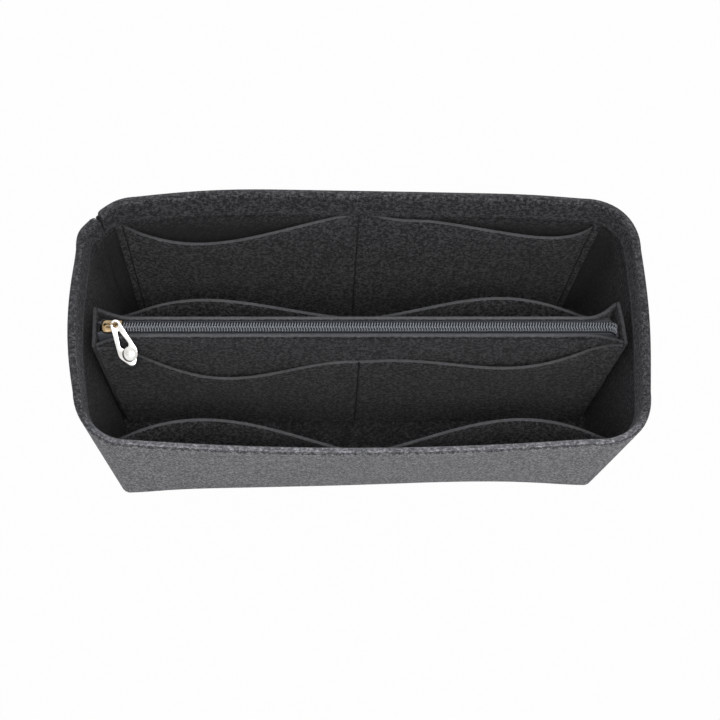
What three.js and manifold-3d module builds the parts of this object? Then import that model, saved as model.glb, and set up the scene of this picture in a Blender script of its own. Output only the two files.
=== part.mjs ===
// Felt purse organizer insert: an open felt box with a folded rim, scooped pocket panels on its
// long walls, and a zipped pouch standing across the middle. Millimetres, +Z up, the front is -Y.
import * as THREE from 'three';
import { mergeVertices } from 'three/addons/utils/BufferGeometryUtils.js';
import Module from 'manifold-3d';

const wasm = await Module();
wasm.setup();
const { lerp, smoothstep, degToRad } = THREE.MathUtils;

// Outer wall
const RIM_LENGTH = 300;
const RIM_DEPTH = 143.2;
const BASE_LENGTH = 288.4;
const BASE_DEPTH = 112;
const HEIGHT = 160;
const RIM_CORNER = 29;
const BASE_CORNER = 6;
const SIDE_BOW = 4.7;
const END_BOW = 2.6;

// Felt, and the clearance left between two sewn layers
const FELT = 1.8;
const SEWN_GAP = 0.3;

// Folded rim, and the seam where the strip's back end steps in behind its left end
const HEM_DEPTH = 25;
const HEM_GAP = 0.4;
const HEM_STAND = 1.4;
const SEAM_TURN = degToRad(47);
const SEAM_SLIT = 0.5;
const STEP_TURN = degToRad(18);
const SEAM_STEP = 3.6;
const NOTCH_RADIUS = 3.6;

// Pocket panels on the two long walls. A pair is for the left lobe and the right one: how far its
// mouth dips and gapes, and the share of the lobe, from the middle seam, where it does so most.
const WALL_POCKET_INSET = 17.2;
const WALL_POCKET_DROP = 1;
const BACK_POCKET_DIP = [20, 14];
const BACK_POCKET_LOW = [0.64, 0.74];
const BACK_POCKET_GAPE = [5.6, 4.2];
const FRONT_POCKET_DIP = [18, 18];
const FRONT_POCKET_LOW = [0.66, 0.68];
const FRONT_POCKET_GAPE = [20, 20];

// Zipped pouch
const POUCH_Y = 1.8;
const POUCH_TOP = 141;
const POUCH_BASE_WIDTH = 32.4;
const POUCH_END_WIDTH = 22;
const POUCH_END_GAP = 1.4;
const FLARE_RUN = 18;
const FLARE_POWER = 1.6;

// Pocket panels on the two faces of the pouch
const POUCH_POCKET_INSET = 5;
const POUCH_POCKET_END_DROP = 10;
const POUCH_POCKET_MIDDLE_DROP = 28;
const POUCH_FRONT_DIP = [27, 14];
const POUCH_FRONT_LOW = [0.52, 0.58];
const POUCH_FRONT_GAPE = [4.4, 4.4];
const POUCH_REAR_DIP = [20, 20];
const POUCH_REAR_LOW = [0.64, 0.6];
const POUCH_REAR_GAPE = [15, 15.6];
const LOBE_FULLNESS = 0.8;

// Zip chain and tapes
const CHAIN_WIDTH = 4.8;
const CHAIN_HEIGHT = 2;
const CHAIN_PROUD = 0.4;
const TOOTH_PITCH = 2.5;
const TOOTH_REACH = 0.8;
const TOOTH_ROOT = 0.75;
const TOOTH_HEAD = 0.95;
const TAPE = 0.5;
const TAPE_LEG = 9;
const TAPE_SPLIT = 0.4;
const TAPE_END_GAP = 0.7;
const TAPE_END_DIP = 4;
const TACK = 1.3;

// Slider
const SLIDER_LENGTH = 11;
const SLIDER_WALL = 0.5;
const SLIDER_FLARE = 0.2;
const SLIDER_PLATE = 1;
const SLIDER_NOSE_GAP = 2.7;
const SLIDER_SIDE_GAP = 0.5;
const CHANNEL_GAP = 0.3;
const POST_LENGTH = 4;
const POST_WIDTH = 2.5;
const POST_SETBACK = 0.8;
const BAIL_WIRE = 1.1;
const BAIL_SETBACK = 1.6;
const BAIL_LENGTH = 6.9;

// Pull, which hangs by its eye on the bail's tail leg
const PULL_PLATE = 1.2;
const PULL_EYE_HOLE = 2.7;
const PULL_EYE = 5;
const PULL_WIDTH = 10.4;
const PULL_REACH = 19.5;
const PULL_LEG = 1.8;
const PULL_BOSS = 9.2;
const PULL_BOSS_RISE = 0.8;
const PULL_DROOP = degToRad(18);
const PULL_REST_TURN = degToRad(22);

// Steps of the curved outlines
const LONG_STEPS = 14;
const SHORT_STEPS = 6;
const CORNER_STEPS = 7;
const FOLD_STEPS = 5;
const LOBE_STEPS = 16;
const RISE_STEPS = 6;
const ARC_STEPS = 8;

const FELT_LOOK = { color: 0x3b3c3f, roughness: 0.95, metalness: 0 };
const TAPE_LOOK = { color: 0x33363d, roughness: 0.85, metalness: 0 };
const CHAIN_LOOK = { color: 0x565d69, roughness: 0.5, metalness: 0 };
const GOLD_LOOK = { color: 0xd0a865, roughness: 0.25, metalness: 1 };
const SILVER_LOOK = { color: 0xe4e2dd, roughness: 0.15, metalness: 1 };

const organizer = new THREE.Group();

function addPiece(name, geometry, look, parent = organizer) {
  const mesh = new THREE.Mesh(geometry, new THREE.MeshStandardMaterial(look));
  mesh.name = name;
  parent.add(mesh);
  return mesh;
}

// Sheet solids

function volumeOf(points, faces) {
  const edge = new THREE.Vector3();
  const wedge = ([a, b, c]) => points[a].dot(edge.crossVectors(points[b], points[c])) / 6;
  return faces.reduce((sum, face) => sum + wedge(face), 0);
}

// A closed sheet skinned over stations. Each station is a row of pairs: a point on one skin of the
// sheet and the point behind it on the other.
function sheet(stations) {
  const pairs = stations[0].length;
  const count = 2 * pairs;
  const faceOf = (row) => row.map(([face]) => face);
  const backOf = (row) => row.map(([, back]) => back);
  const points = stations.flatMap((row) => [...faceOf(row), ...backOf(row).toReversed()]);
  const faces = [];
  const quad = (a, b, c, d) => faces.push([a, b, c], [a, c, d]);
  for (let start = 0; start < points.length - count; start += count) {
    for (let index = 0; index < count; index += 1) {
      const next = (index + 1) % count;
      quad(start + index, start + next, start + next + count, start + index + count);
    }
  }
  const last = points.length - count;
  for (let index = 0; index < pairs - 1; index += 1) {
    const behind = count - 1 - index;
    quad(index, behind, behind - 1, index + 1);
    quad(last + index, last + index + 1, last + behind - 1, last + behind);
  }
  const outward = volumeOf(points, faces) > 0 ? faces : faces.map(([a, b, c]) => [a, c, b]);
  const geometry = new THREE.BufferGeometry().setFromPoints(points);
  geometry.setIndex(outward.flat());
  return geometry;
}

// Joins and cuts

function toSolid(geometry) {
  const bare = geometry.clone();
  const extras = Object.keys(bare.attributes).filter((name) => name !== 'position');
  extras.forEach((name) => bare.deleteAttribute(name));
  const merged = mergeVertices(bare, 1e-4);
  return new wasm.Manifold(new wasm.Mesh({
    numProp: 3,
    vertProperties: new Float32Array(merged.attributes.position.array),
    triVerts: new Uint32Array(merged.index.array),
  }));
}

function toGeometry(solid) {
  const { vertProperties, triVerts } = solid.getMesh();
  const geometry = new THREE.BufferGeometry();
  geometry.setAttribute('position', new THREE.BufferAttribute(new Float32Array(vertProperties), 3));
  geometry.setIndex(new THREE.BufferAttribute(new Uint32Array(triVerts), 1));
  return geometry;
}

// A shape in the XY plane raised from one height to another.
function prism(shape, low, high) {
  const options = { depth: high - low, bevelEnabled: false, curveSegments: ARC_STEPS };
  return new THREE.ExtrudeGeometry(shape, options).translate(0, 0, low);
}

function shapeOf(points) {
  return new THREE.Shape(points.map(([x, y]) => new THREE.Vector2(x, y)));
}

// The wall's rounded, bowed outline at a height, straight from base to rim
function section(z) {
  const share = z / HEIGHT;
  return {
    halfLength: lerp(BASE_LENGTH / 2, RIM_LENGTH / 2 - END_BOW, share),
    halfDepth: lerp(BASE_DEPTH / 2, RIM_DEPTH / 2 - SIDE_BOW, share),
    corner: lerp(BASE_CORNER, RIM_CORNER, share),
    sideBow: SIDE_BOW * share,
    endBow: END_BOW * share,
  };
}

// The four sides in order round the strip: left, front, right, back
const OUTWARD = [[-1, 0], [0, -1], [1, 0], [0, 1]].map(([x, y]) => new THREE.Vector2(x, y));
const LEFT = OUTWARD.findIndex(({ x }) => x < 0);
const BACK = OUTWARD.findIndex(({ y }) => y > 0);

function sideOf(side, z) {
  const { halfLength, halfDepth, corner, sideBow, endBow } = section(z);
  const outward = OUTWARD[side];
  const along = new THREE.Vector2(-outward.y, outward.x);
  const isEnd = outward.y === 0;
  return {
    outward,
    along,
    corner,
    reach: isEnd ? halfLength : halfDepth,
    run: (isEnd ? halfDepth : halfLength) - corner,
    bow: isEnd ? endBow : sideBow,
  };
}

function placed(outward, along, out, run, z) {
  return new THREE.Vector3(outward.x * out + along.x * run, outward.y * out + along.y * run, z);
}

// A station on a side, from -1 at its start to 1 at its end.
function onSide(side, share) {
  return (z, inset) => {
    const { outward, along, reach, run, bow } = sideOf(side, z);
    return placed(outward, along, reach - inset + bow * (1 - share * share), run * share, z);
  };
}

// A station on the corner after a side. A stepped one leaves the outline inwards as it rises.
function onCorner(side, turn, step = 0) {
  return (z, inset) => {
    const { outward, along, reach, run, corner } = sideOf(side, z);
    const radius = corner - inset - (step * SEAM_STEP * z) / HEIGHT;
    const out = reach - corner + radius * Math.cos(turn);
    return placed(outward, along, out, run + radius * Math.sin(turn), z);
  };
}

// How far the rounded end of the rim falls at a distance from the strip's end
function notchDrop(distance) {
  const inside = Math.max(NOTCH_RADIUS - distance, 0);
  return NOTCH_RADIUS - Math.sqrt(NOTCH_RADIUS ** 2 - inside ** 2);
}

const NOTCH_SHARES = [0, 0.12, 0.4, 1];

function wallStations() {
  const slitTurn = SEAM_SLIT / RIM_CORNER;
  const stations = [];
  const add = (at, drop = 0) => stations.push({ at, drop });
  NOTCH_SHARES.forEach((share) => {
    const distance = share * NOTCH_RADIUS;
    add(onCorner(BACK, SEAM_TURN + distance / RIM_CORNER), notchDrop(distance));
  });
  OUTWARD.forEach((_, side) => {
    const steps = OUTWARD[side].y === 0 ? SHORT_STEPS : LONG_STEPS;
    for (let step = 0; step <= steps; step += 1) add(onSide(side, (2 * step) / steps - 1));
    if (side === BACK) return;
    for (let step = 1; step < CORNER_STEPS; step += 1) {
      add(onCorner(side, (step / CORNER_STEPS) * Math.PI / 2));
    }
  });
  const stepEnd = SEAM_TURN - slitTurn - NOTCH_RADIUS / RIM_CORNER;
  for (let step = 1; step < CORNER_STEPS; step += 1) {
    const turn = (step / CORNER_STEPS) * stepEnd;
    add(onCorner(BACK, turn, smoothstep(turn, STEP_TURN, stepEnd)));
  }
  NOTCH_SHARES.toReversed().forEach((share) => {
    const distance = share * NOTCH_RADIUS;
    add(onCorner(BACK, SEAM_TURN - slitTurn - distance / RIM_CORNER, 1), notchDrop(distance));
  });
  return stations;
}

const HEM_FOOT = HEIGHT - HEM_DEPTH;
const HEM_INSET = FELT + HEM_GAP + HEM_STAND;

// The strip's cross-section as pairs of inset and height, for its face and its back: up the wall,
// over the fold and down the hem, whose foot stands off the wall
function wallProfile(drop) {
  const backRadius = HEM_GAP / 2;
  const faceRadius = FELT + backRadius;
  const foldZ = HEIGHT - drop - faceRadius;
  const around = (radius, angle) => (
    [faceRadius - radius * Math.cos(angle), foldZ + radius * Math.sin(angle)]
  );
  const fold = [];
  for (let step = 0; step <= FOLD_STEPS; step += 1) {
    const angle = (step / FOLD_STEPS) * Math.PI;
    fold.push([around(faceRadius, angle), around(backRadius, angle)]);
  }
  return [
    [[0, 0], [FELT, 0]],
    ...fold,
    [[HEM_INSET + FELT, HEM_FOOT], [HEM_INSET, HEM_FOOT]],
  ];
}

function outerWall() {
  return sheet(wallStations().map(({ at, drop }) => (
    wallProfile(drop).map((pair) => pair.map(([inset, z]) => at(z, inset)))
  )));
}

// The base panel fills the strip's foot
function basePanel() {
  const inset = FELT + SEWN_GAP;
  const outline = wallStations().map(({ at }) => at(0, inset)).map(({ x, y }) => [x, y]);
  return prism(shapeOf(outline), 0, FELT);
}

const FLOOR_TOP = FELT + SEWN_GAP;

// Depth of the back wall's inner face at a place along the length
function wallDepthAt(x, z) {
  const { halfLength, halfDepth, corner, sideBow } = section(z);
  const run = halfLength - corner;
  const past = Math.abs(x) - run;
  if (past < 0) return halfDepth - FELT + sideBow * (1 - (x / run) ** 2);
  return halfDepth - corner + Math.sqrt((corner - FELT) ** 2 - past ** 2);
}

// One full hump between a lobe's two seams, highest at a share of the lobe
function hump(share, peak) {
  const turn = Math.PI * share ** (Math.log(0.5) / Math.log(peak));
  return Math.max(Math.sin(turn), 0) ** LOBE_FULLNESS;
}

// A two-lobed pocket panel, sewn at its ends, its middle and its foot. Its back stands at depthAt,
// and its mouth gapes further out. The panel faces -Y where facing is -1, and +Y where it is 1.
function pocketPanel({ length, endTop, middleTop, dip, low, gape, depthAt, facing }) {
  const stations = [];
  for (let step = -LOBE_STEPS; step <= LOBE_STEPS; step += 1) {
    const x = (step / LOBE_STEPS) * (length / 2);
    const share = Math.abs(step) / LOBE_STEPS;
    const lobe = step < 0 ? 0 : 1;
    const slack = hump(share, low[lobe]);
    const top = lerp(middleTop, endTop, share) - dip[lobe] * slack;
    const row = [];
    for (let rise = 0; rise <= RISE_STEPS; rise += 1) {
      const height = rise / RISE_STEPS;
      const z = lerp(FLOOR_TOP, top, height);
      const stand = SEWN_GAP + gape[lobe] * slack * height ** 2;
      const y = depthAt(x, z) + facing * stand;
      row.push([new THREE.Vector3(x, y + facing * FELT, z), new THREE.Vector3(x, y, z)]);
    }
    stations.push(row);
  }
  return sheet(stations);
}

function wallPocket(facing, dip, low, gape) {
  const top = HEM_FOOT - WALL_POCKET_DROP;
  return pocketPanel({
    length: BASE_LENGTH - 2 * WALL_POCKET_INSET,
    endTop: top,
    middleTop: top,
    dip,
    low,
    gape,
    depthAt: (x, z) => -facing * wallDepthAt(x, z),
    facing,
  });
}

// Half of the clear length between the wall's two ends, at a distance from the middle and a height
function endRoomAt(y, z, inset) {
  const { reach, run, bow } = sideOf(LEFT, z);
  return reach - inset + bow * (1 - (y / run) ** 2);
}

// Pouch: an A-shaped felt envelope whose faces meet the zip and flare out to the end gussets. It
// fits between the wall's ends at its foot and between the hem's at its top.
const FOOT_ROOM = endRoomAt(POUCH_Y + POUCH_BASE_WIDTH / 2, 0, FELT);
const TOP_ROOM = endRoomAt(POUCH_Y + POUCH_END_WIDTH / 2, POUCH_TOP, HEM_INSET + FELT);
const GUSSET_OUTER = Math.min(FOOT_ROOM, TOP_ROOM) - POUCH_END_GAP;
const GUSSET_INNER = GUSSET_OUTER - FELT;
const PANEL_END = GUSSET_INNER - SEWN_GAP;
const CHANNEL_HALF = CHAIN_WIDTH / 2 + CHANNEL_GAP;
const TAIL_HALF = CHANNEL_HALF + SLIDER_WALL;
const NOSE_HALF = TAIL_HALF + SLIDER_FLARE;
const MOUTH_HALF = NOSE_HALF + SLIDER_SIDE_GAP + FELT;

function pouchHalfWidth(x, z) {
  const past = Math.max(Math.abs(x) - (GUSSET_INNER - FLARE_RUN), 0) / FLARE_RUN;
  const topHalf = lerp(MOUTH_HALF, POUCH_END_WIDTH / 2, Math.min(past, 1) ** FLARE_POWER);
  return lerp(POUCH_BASE_WIDTH / 2, topHalf, (z - FLOOR_TOP) / (POUCH_TOP - FLOOR_TOP));
}

// Stations along the pouch, close together where its ends flare
function pouchStations(end) {
  const flareStart = GUSSET_INNER - FLARE_RUN;
  const half = [0, flareStart];
  for (let step = 1; step <= SHORT_STEPS; step += 1) {
    half.push(lerp(flareStart, end, step / SHORT_STEPS));
  }
  return [...half.slice(1).toReversed().map((x) => -x), ...half];
}

function pouchPanel(facing) {
  return sheet(pouchStations(PANEL_END).map((x) => {
    const skin = (z, inset) => {
      const y = POUCH_Y + facing * (pouchHalfWidth(x, z) - inset);
      return new THREE.Vector3(x, y, z);
    };
    return [FLOOR_TOP, POUCH_TOP].map((z) => [skin(z, 0), skin(z, FELT)]);
  }));
}

function gusset(side) {
  return sheet([-1, 1].map((facing) => [FLOOR_TOP, POUCH_TOP].map((z) => {
    const y = POUCH_Y + facing * pouchHalfWidth(GUSSET_INNER, z);
    return [GUSSET_OUTER, GUSSET_INNER].map((x) => new THREE.Vector3(side * x, y, z));
  })));
}

function pouchFloor() {
  const top = FLOOR_TOP + FELT;
  const half = pouchHalfWidth(0, top) - FELT - SEWN_GAP;
  const floor = new THREE.BoxGeometry(2 * PANEL_END, 2 * half, FELT);
  return floor.translate(0, POUCH_Y, FLOOR_TOP + FELT / 2);
}

function pouchPocket(facing, dip, low, gape) {
  return pocketPanel({
    length: 2 * (PANEL_END - POUCH_POCKET_INSET),
    endTop: POUCH_TOP - POUCH_POCKET_END_DROP,
    middleTop: POUCH_TOP - POUCH_POCKET_MIDDLE_DROP,
    dip,
    low,
    gape,
    depthAt: (x, z) => POUCH_Y + facing * pouchHalfWidth(x, z),
    facing,
  });
}

// Zip levels, from the chain down to the slider's foot and up to its bail
const CHAIN_TOP = POUCH_TOP + CHAIN_PROUD;
const CHAIN_FOOT = CHAIN_TOP - CHAIN_HEIGHT;
const TAPE_TOP = CHAIN_FOOT - SEWN_GAP;
const PLATE_FOOT = CHAIN_TOP + SEWN_GAP;
const PLATE_TOP = PLATE_FOOT + SLIDER_PLATE;
const LOWER_TOP = TAPE_TOP - TAPE - SEWN_GAP;
const LOWER_FOOT = LOWER_TOP - SLIDER_PLATE;

// Places along the zip, at rest with the slider at the closed left end
const NOSE_X = -(GUSSET_INNER - SLIDER_NOSE_GAP);
const TAIL_X = NOSE_X + SLIDER_LENGTH;
const POST_X = NOSE_X + POST_SETBACK + POST_LENGTH / 2;
const CHAIN_START = POST_X + POST_LENGTH / 2 + 2 * SEWN_GAP + TOOTH_PITCH / 2;
const CHAIN_END = -CHAIN_START;
const TAPE_END = GUSSET_INNER - TAPE_END_GAP;

// One half of the chain: a cord with a comb of teeth that the other half's teeth stand between
function zipChain(facing) {
  const half = CHAIN_WIDTH / 2;
  const tip = TOOTH_REACH;
  const root = tip + SEWN_GAP;
  const teeth = Math.floor((CHAIN_END - CHAIN_START) / TOOTH_PITCH);
  const first = CHAIN_START + ((2 + facing) * TOOTH_PITCH) / 4;
  const points = [[CHAIN_START, facing * half], [CHAIN_START, facing * root]];
  for (let tooth = 0; tooth < teeth; tooth += 1) {
    const x = first + tooth * TOOTH_PITCH;
    points.push([x - TOOTH_ROOT / 2, facing * root], [x - TOOTH_HEAD / 2, -facing * tip]);
    points.push([x + TOOTH_HEAD / 2, -facing * tip], [x + TOOTH_ROOT / 2, facing * root]);
  }
  points.push([CHAIN_END, facing * root], [CHAIN_END, facing * half]);
  return prism(shapeOf(points), CHAIN_FOOT, CHAIN_TOP).translate(0, POUCH_Y, 0);
}

// One tape: flat under the chain, then turned down along the felt. It parts round the slider's post
// and dips into the pouch past the chain's far end.
function zipTape(facing) {
  const partStart = CHAIN_START;
  const partEnd = POST_X + POST_LENGTH / 2;
  const parted = POST_WIDTH / 2 + 2 * SEWN_GAP;
  const inner = (x) => lerp(TAPE_SPLIT / 2, parted, smoothstep(-x, -partStart, -partEnd));
  const dip = (x) => TAPE_END_DIP * smoothstep(x, CHAIN_END + TACK + SEWN_GAP, TAPE_END);
  const stations = [...pouchStations(TAPE_END), partStart, partEnd].sort((a, b) => a - b);
  return sheet(stations.map((x) => {
    const leg = (z, inset) => pouchHalfWidth(x, z) - FELT - SEWN_GAP - inset;
    const top = TAPE_TOP - dip(x);
    const foot = TAPE_TOP - TAPE_LEG;
    const outline = [
      [[inner(x), top], [inner(x), top - TAPE]],
      [[leg(top, 0), top], [leg(top - TAPE, TAPE), top - TAPE]],
      [[leg(foot, 0), foot], [leg(foot, TAPE), foot]],
    ];
    const point = ([y, z]) => new THREE.Vector3(x, POUCH_Y + facing * y, z);
    return outline.map((pair) => pair.map(point));
  }));
}

// A bar of close stitches across both tapes
function barTack(x, halfSpan) {
  const bar = new THREE.CapsuleGeometry(TACK / 2, 2 * halfSpan - TACK, 3, ARC_STEPS);
  return bar.translate(x, POUCH_Y, CHAIN_FOOT + TACK / 2);
}

// Slider: two plates joined by a post at the nose, side flanges, and a bail on top. X runs from
// the nose.
function sliderOutline() {
  const shape = new THREE.Shape();
  const shoulder = POST_SETBACK + POST_LENGTH / 2;
  shape.moveTo(SLIDER_LENGTH, -TAIL_HALF);
  shape.lineTo(SLIDER_LENGTH, TAIL_HALF);
  shape.lineTo(shoulder, NOSE_HALF);
  shape.quadraticCurveTo(0, NOSE_HALF, 0, 0);
  shape.quadraticCurveTo(0, -NOSE_HALF, shoulder, -NOSE_HALF);
  return shape;
}

function bailShape() {
  const end = BAIL_SETBACK + BAIL_LENGTH;
  const rise = BAIL_TOP - PLATE_TOP;
  const shape = new THREE.Shape();
  shape.moveTo(BAIL_SETBACK, -SLIDER_PLATE / 2);
  shape.lineTo(end, -SLIDER_PLATE / 2);
  shape.lineTo(end, rise - BAIL_WIRE);
  shape.quadraticCurveTo(end, rise, end - BAIL_WIRE, rise);
  shape.lineTo(BAIL_SETBACK + 2 * BAIL_WIRE, rise);
  shape.quadraticCurveTo(BAIL_SETBACK, rise, BAIL_SETBACK, rise - 2 * BAIL_WIRE);
  const opening = [
    [BAIL_SETBACK + BAIL_WIRE, 0],
    [end - BAIL_WIRE, 0],
    [end - BAIL_WIRE, rise - BAIL_WIRE],
    [BAIL_SETBACK + 2 * BAIL_WIRE, rise - BAIL_WIRE],
    [BAIL_SETBACK + BAIL_WIRE, rise - 2 * BAIL_WIRE],
  ];
  shape.holes.push(new THREE.Path(opening.map(([x, y]) => new THREE.Vector2(x, y))));
  return shape;
}

// The eye lies just over the slider's plate, tipped by the pull's droop, with the bail's bar above it
const EYE_HALF = PULL_PLATE / 2 / Math.cos(PULL_DROOP);
const EYE_Z = PLATE_TOP + SEWN_GAP + EYE_HALF + (PULL_EYE / 2) * Math.tan(PULL_DROOP);
const BAIL_TOP = EYE_Z + EYE_HALF + (BAIL_WIRE / 2) * Math.tan(PULL_DROOP) + SEWN_GAP + BAIL_WIRE;
const EYE_X = NOSE_X + BAIL_SETBACK + BAIL_LENGTH - BAIL_WIRE / 2;

function zipSlider() {
  const outline = sliderOutline();
  const flangeFoot = PLATE_FOOT - CHAIN_HEIGHT;
  const upper = toSolid(prism(outline, flangeFoot, PLATE_TOP));
  const channel = new THREE.BoxGeometry(4 * SLIDER_LENGTH, 2 * CHANNEL_HALF, 2 * CHAIN_HEIGHT);
  const lower = toSolid(prism(outline, LOWER_FOOT, LOWER_TOP));
  const postEnd = POST_SETBACK + POST_LENGTH;
  const postMiddle = POST_SETBACK + POST_LENGTH / 2;
  const post = prism(shapeOf([
    [POST_SETBACK, 0],
    [postMiddle, -POST_WIDTH / 2],
    [postEnd, 0],
    [postMiddle, POST_WIDTH / 2],
  ]), LOWER_TOP - SLIDER_PLATE / 2, PLATE_FOOT + SLIDER_PLATE / 2);
  const bail = prism(bailShape(), -BAIL_WIRE / 2, BAIL_WIRE / 2).rotateX(Math.PI / 2);
  const solid = upper
    .subtract(toSolid(channel.translate(0, 0, flangeFoot)))
    .add(lower)
    .add(toSolid(post))
    .add(toSolid(bail.translate(0, 0, PLATE_TOP)));
  return toGeometry(solid);
}

// Pull: a teardrop plate with an eye, a teardrop slot and a lens-shaped boss. It points to -Y from
// its eye.
function teardrop(near, nearRadius, far, farRadius) {
  const lean = Math.asin((farRadius - nearRadius) / (far - near));
  const shape = new THREE.Path();
  shape.absarc(0, -near, nearRadius, -lean, Math.PI + lean, false);
  shape.absarc(0, -far, farRadius, Math.PI + lean, 2 * Math.PI - lean, false);
  return shape.getPoints(ARC_STEPS);
}

function zipPull() {
  const plate = new THREE.Shape(teardrop(0, PULL_EYE / 2, PULL_REACH, PULL_WIDTH / 2));
  const slotNear = PULL_EYE + PULL_LEG / 2;
  const slotFar = PULL_REACH - PULL_BOSS / 2 - PULL_LEG;
  const slotHalf = (reach) => lerp(PULL_EYE, PULL_WIDTH, reach / PULL_REACH) / 2 - PULL_LEG;
  plate.holes.push(new THREE.Path().absarc(0, 0, PULL_EYE_HOLE / 2, 0, 2 * Math.PI, true));
  plate.holes.push(new THREE.Path(teardrop(slotNear, slotHalf(slotNear), slotFar, slotHalf(slotFar))));
  const lens = [];
  for (let step = 0; step <= ARC_STEPS; step += 1) {
    const turn = Math.PI * (step / ARC_STEPS - 1 / 2);
    lens.push(new THREE.Vector2(
      (PULL_BOSS / 2) * Math.cos(turn),
      (PULL_PLATE / 2 + PULL_BOSS_RISE) * Math.sin(turn),
    ));
  }
  const boss = new THREE.LatheGeometry(lens, 3 * ARC_STEPS).rotateX(Math.PI / 2);
  const solid = toSolid(prism(plate, -PULL_PLATE / 2, PULL_PLATE / 2))
    .add(toSolid(boss.translate(0, -PULL_REACH, 0)));
  return toGeometry(solid);
}

addPiece('outer_wall', outerWall(), FELT_LOOK);
addPiece('base_panel', basePanel(), FELT_LOOK);
const backPocket = wallPocket(-1, BACK_POCKET_DIP, BACK_POCKET_LOW, BACK_POCKET_GAPE);
addPiece('back_pocket', backPocket, FELT_LOOK);
const frontPocket = wallPocket(1, FRONT_POCKET_DIP, FRONT_POCKET_LOW, FRONT_POCKET_GAPE);
addPiece('front_pocket', frontPocket, FELT_LOOK);

addPiece('pouch_front_panel', pouchPanel(-1), FELT_LOOK);
addPiece('pouch_rear_panel', pouchPanel(1), FELT_LOOK);
addPiece('pouch_left_gusset', gusset(-1), FELT_LOOK);
addPiece('pouch_right_gusset', gusset(1), FELT_LOOK);
addPiece('pouch_floor', pouchFloor(), FELT_LOOK);
const pouchFrontPocket = pouchPocket(-1, POUCH_FRONT_DIP, POUCH_FRONT_LOW, POUCH_FRONT_GAPE);
addPiece('pouch_front_pocket', pouchFrontPocket, FELT_LOOK);
const pouchRearPocket = pouchPocket(1, POUCH_REAR_DIP, POUCH_REAR_LOW, POUCH_REAR_GAPE);
addPiece('pouch_rear_pocket', pouchRearPocket, FELT_LOOK);

addPiece('zip_tape_front', zipTape(-1), TAPE_LOOK);
addPiece('zip_tape_rear', zipTape(1), TAPE_LOOK);
addPiece('zip_coil_front', zipChain(-1), CHAIN_LOOK);
addPiece('zip_coil_rear', zipChain(1), CHAIN_LOOK);
addPiece('left_bar_tack', barTack(-TAPE_END + TACK / 2, POST_WIDTH), TAPE_LOOK);
addPiece('right_bar_tack', barTack(CHAIN_END + SEWN_GAP + TACK / 2, CHAIN_WIDTH / 2), TAPE_LOOK);

const slider = addPiece('zip_slider', zipSlider(), GOLD_LOOK);
slider.position.set(NOSE_X, POUCH_Y, 0);

const pullTilt = new THREE.Group();
pullTilt.position.set(EYE_X, POUCH_Y, EYE_Z);
pullTilt.rotation.x = PULL_DROOP;
organizer.add(pullTilt);
addPiece('zip_pull', zipPull(), SILVER_LOOK, pullTilt).rotation.z = PULL_REST_TURN;

export default organizer;
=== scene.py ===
"""Looks of a felt handbag organizer: an open felt box with pockets and a zipped pouch across it.

Sizes in the classes are in millimetres, with +Z up and the front at -Y. Meshes are made in metres.
"""

import logging
import math
from dataclasses import dataclass, field
from enum import Enum
from functools import cached_property
from typing import Callable, Optional

import bmesh
import bpy
from mathutils import Matrix, Vector


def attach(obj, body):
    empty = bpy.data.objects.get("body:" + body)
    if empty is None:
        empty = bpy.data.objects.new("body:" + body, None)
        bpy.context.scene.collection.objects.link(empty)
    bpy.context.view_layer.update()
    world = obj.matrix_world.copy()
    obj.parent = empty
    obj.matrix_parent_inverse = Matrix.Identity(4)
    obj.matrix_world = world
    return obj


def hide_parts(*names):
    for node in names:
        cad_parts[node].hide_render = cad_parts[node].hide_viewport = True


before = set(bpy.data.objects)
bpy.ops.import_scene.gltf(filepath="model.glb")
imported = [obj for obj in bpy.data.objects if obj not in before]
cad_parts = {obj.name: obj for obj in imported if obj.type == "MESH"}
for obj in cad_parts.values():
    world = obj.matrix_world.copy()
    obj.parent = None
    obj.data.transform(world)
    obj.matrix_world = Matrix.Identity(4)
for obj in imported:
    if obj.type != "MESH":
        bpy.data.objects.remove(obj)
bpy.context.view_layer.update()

LOG = logging.getLogger("organizer")
MM = 0.001
# Name of the mark that lightens the rim's crest, partly for wear and partly as painted light, and darkens
# the hem and the wall's inner face as painted shade.
LIGHT_AND_WEAR = "worn"
OUTSIDE = "outside"
# Distance in metres at which points become one.
WELD = 1e-7
WIRE_SIDES = 6

Socket = bpy.types.NodeSocket
Material = bpy.types.Material
Mesh = bpy.types.Mesh
Thing = bpy.types.Object
Triple = tuple[float, float, float]
Span = tuple[float, float]
Pair = tuple[Vector, Vector]
Rows = list[list[Pair]]
Path = list[Vector]
# A station gives the point at a height and an inset. A post is a station and the drop of the rim there.
Station = Callable[[float, float], Vector]
Post = tuple[Station, float]
Inputs = dict[object, object]


class Body(Enum):
    """Bodies of the frame that pieces ride on."""

    ORGANIZER = "organizer"
    SLIDER = "slider"
    PULL = "pull"


class Slot(Enum):
    """Material slots of the record."""

    FELT = "felt"
    TAPE = "zip_tape"
    THREAD = "zip_thread"
    COIL = "zip_coil"
    SLIDER = "slider_metal"
    PULL = "pull_metal"


class Side(Enum):
    """Sides of the wall in order round the strip, as their outward directions."""

    LEFT = (-1, 0)
    FRONT = (0, -1)
    RIGHT = (1, 0)
    BACK = (0, 1)

    @property
    def is_end(self) -> bool:
        """Return whether this is one of the two short sides."""
        return self.value[1] == 0


class Facing(Enum):
    """Which way a panel faces along Y."""

    FRONT = -1
    REAR = 1


def lerp(start: float, end: float, share: float) -> float:
    """Return the value at a share of the way from start to end."""
    return start + (end - start) * share


def smooth_step(value: float, low: float, high: float) -> float:
    """Return 0 below low, 1 above high and a smooth rise between them."""
    share = min(max((value - low) / (high - low), 0.0), 1.0)
    return share * share * (3 - 2 * share)


def dent(distance: float, reach: float) -> float:
    """Return 1 on a line of stitches, falling evenly to 0 at a reach from it."""
    return max(1 - abs(distance) / reach, 0.0)


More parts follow.
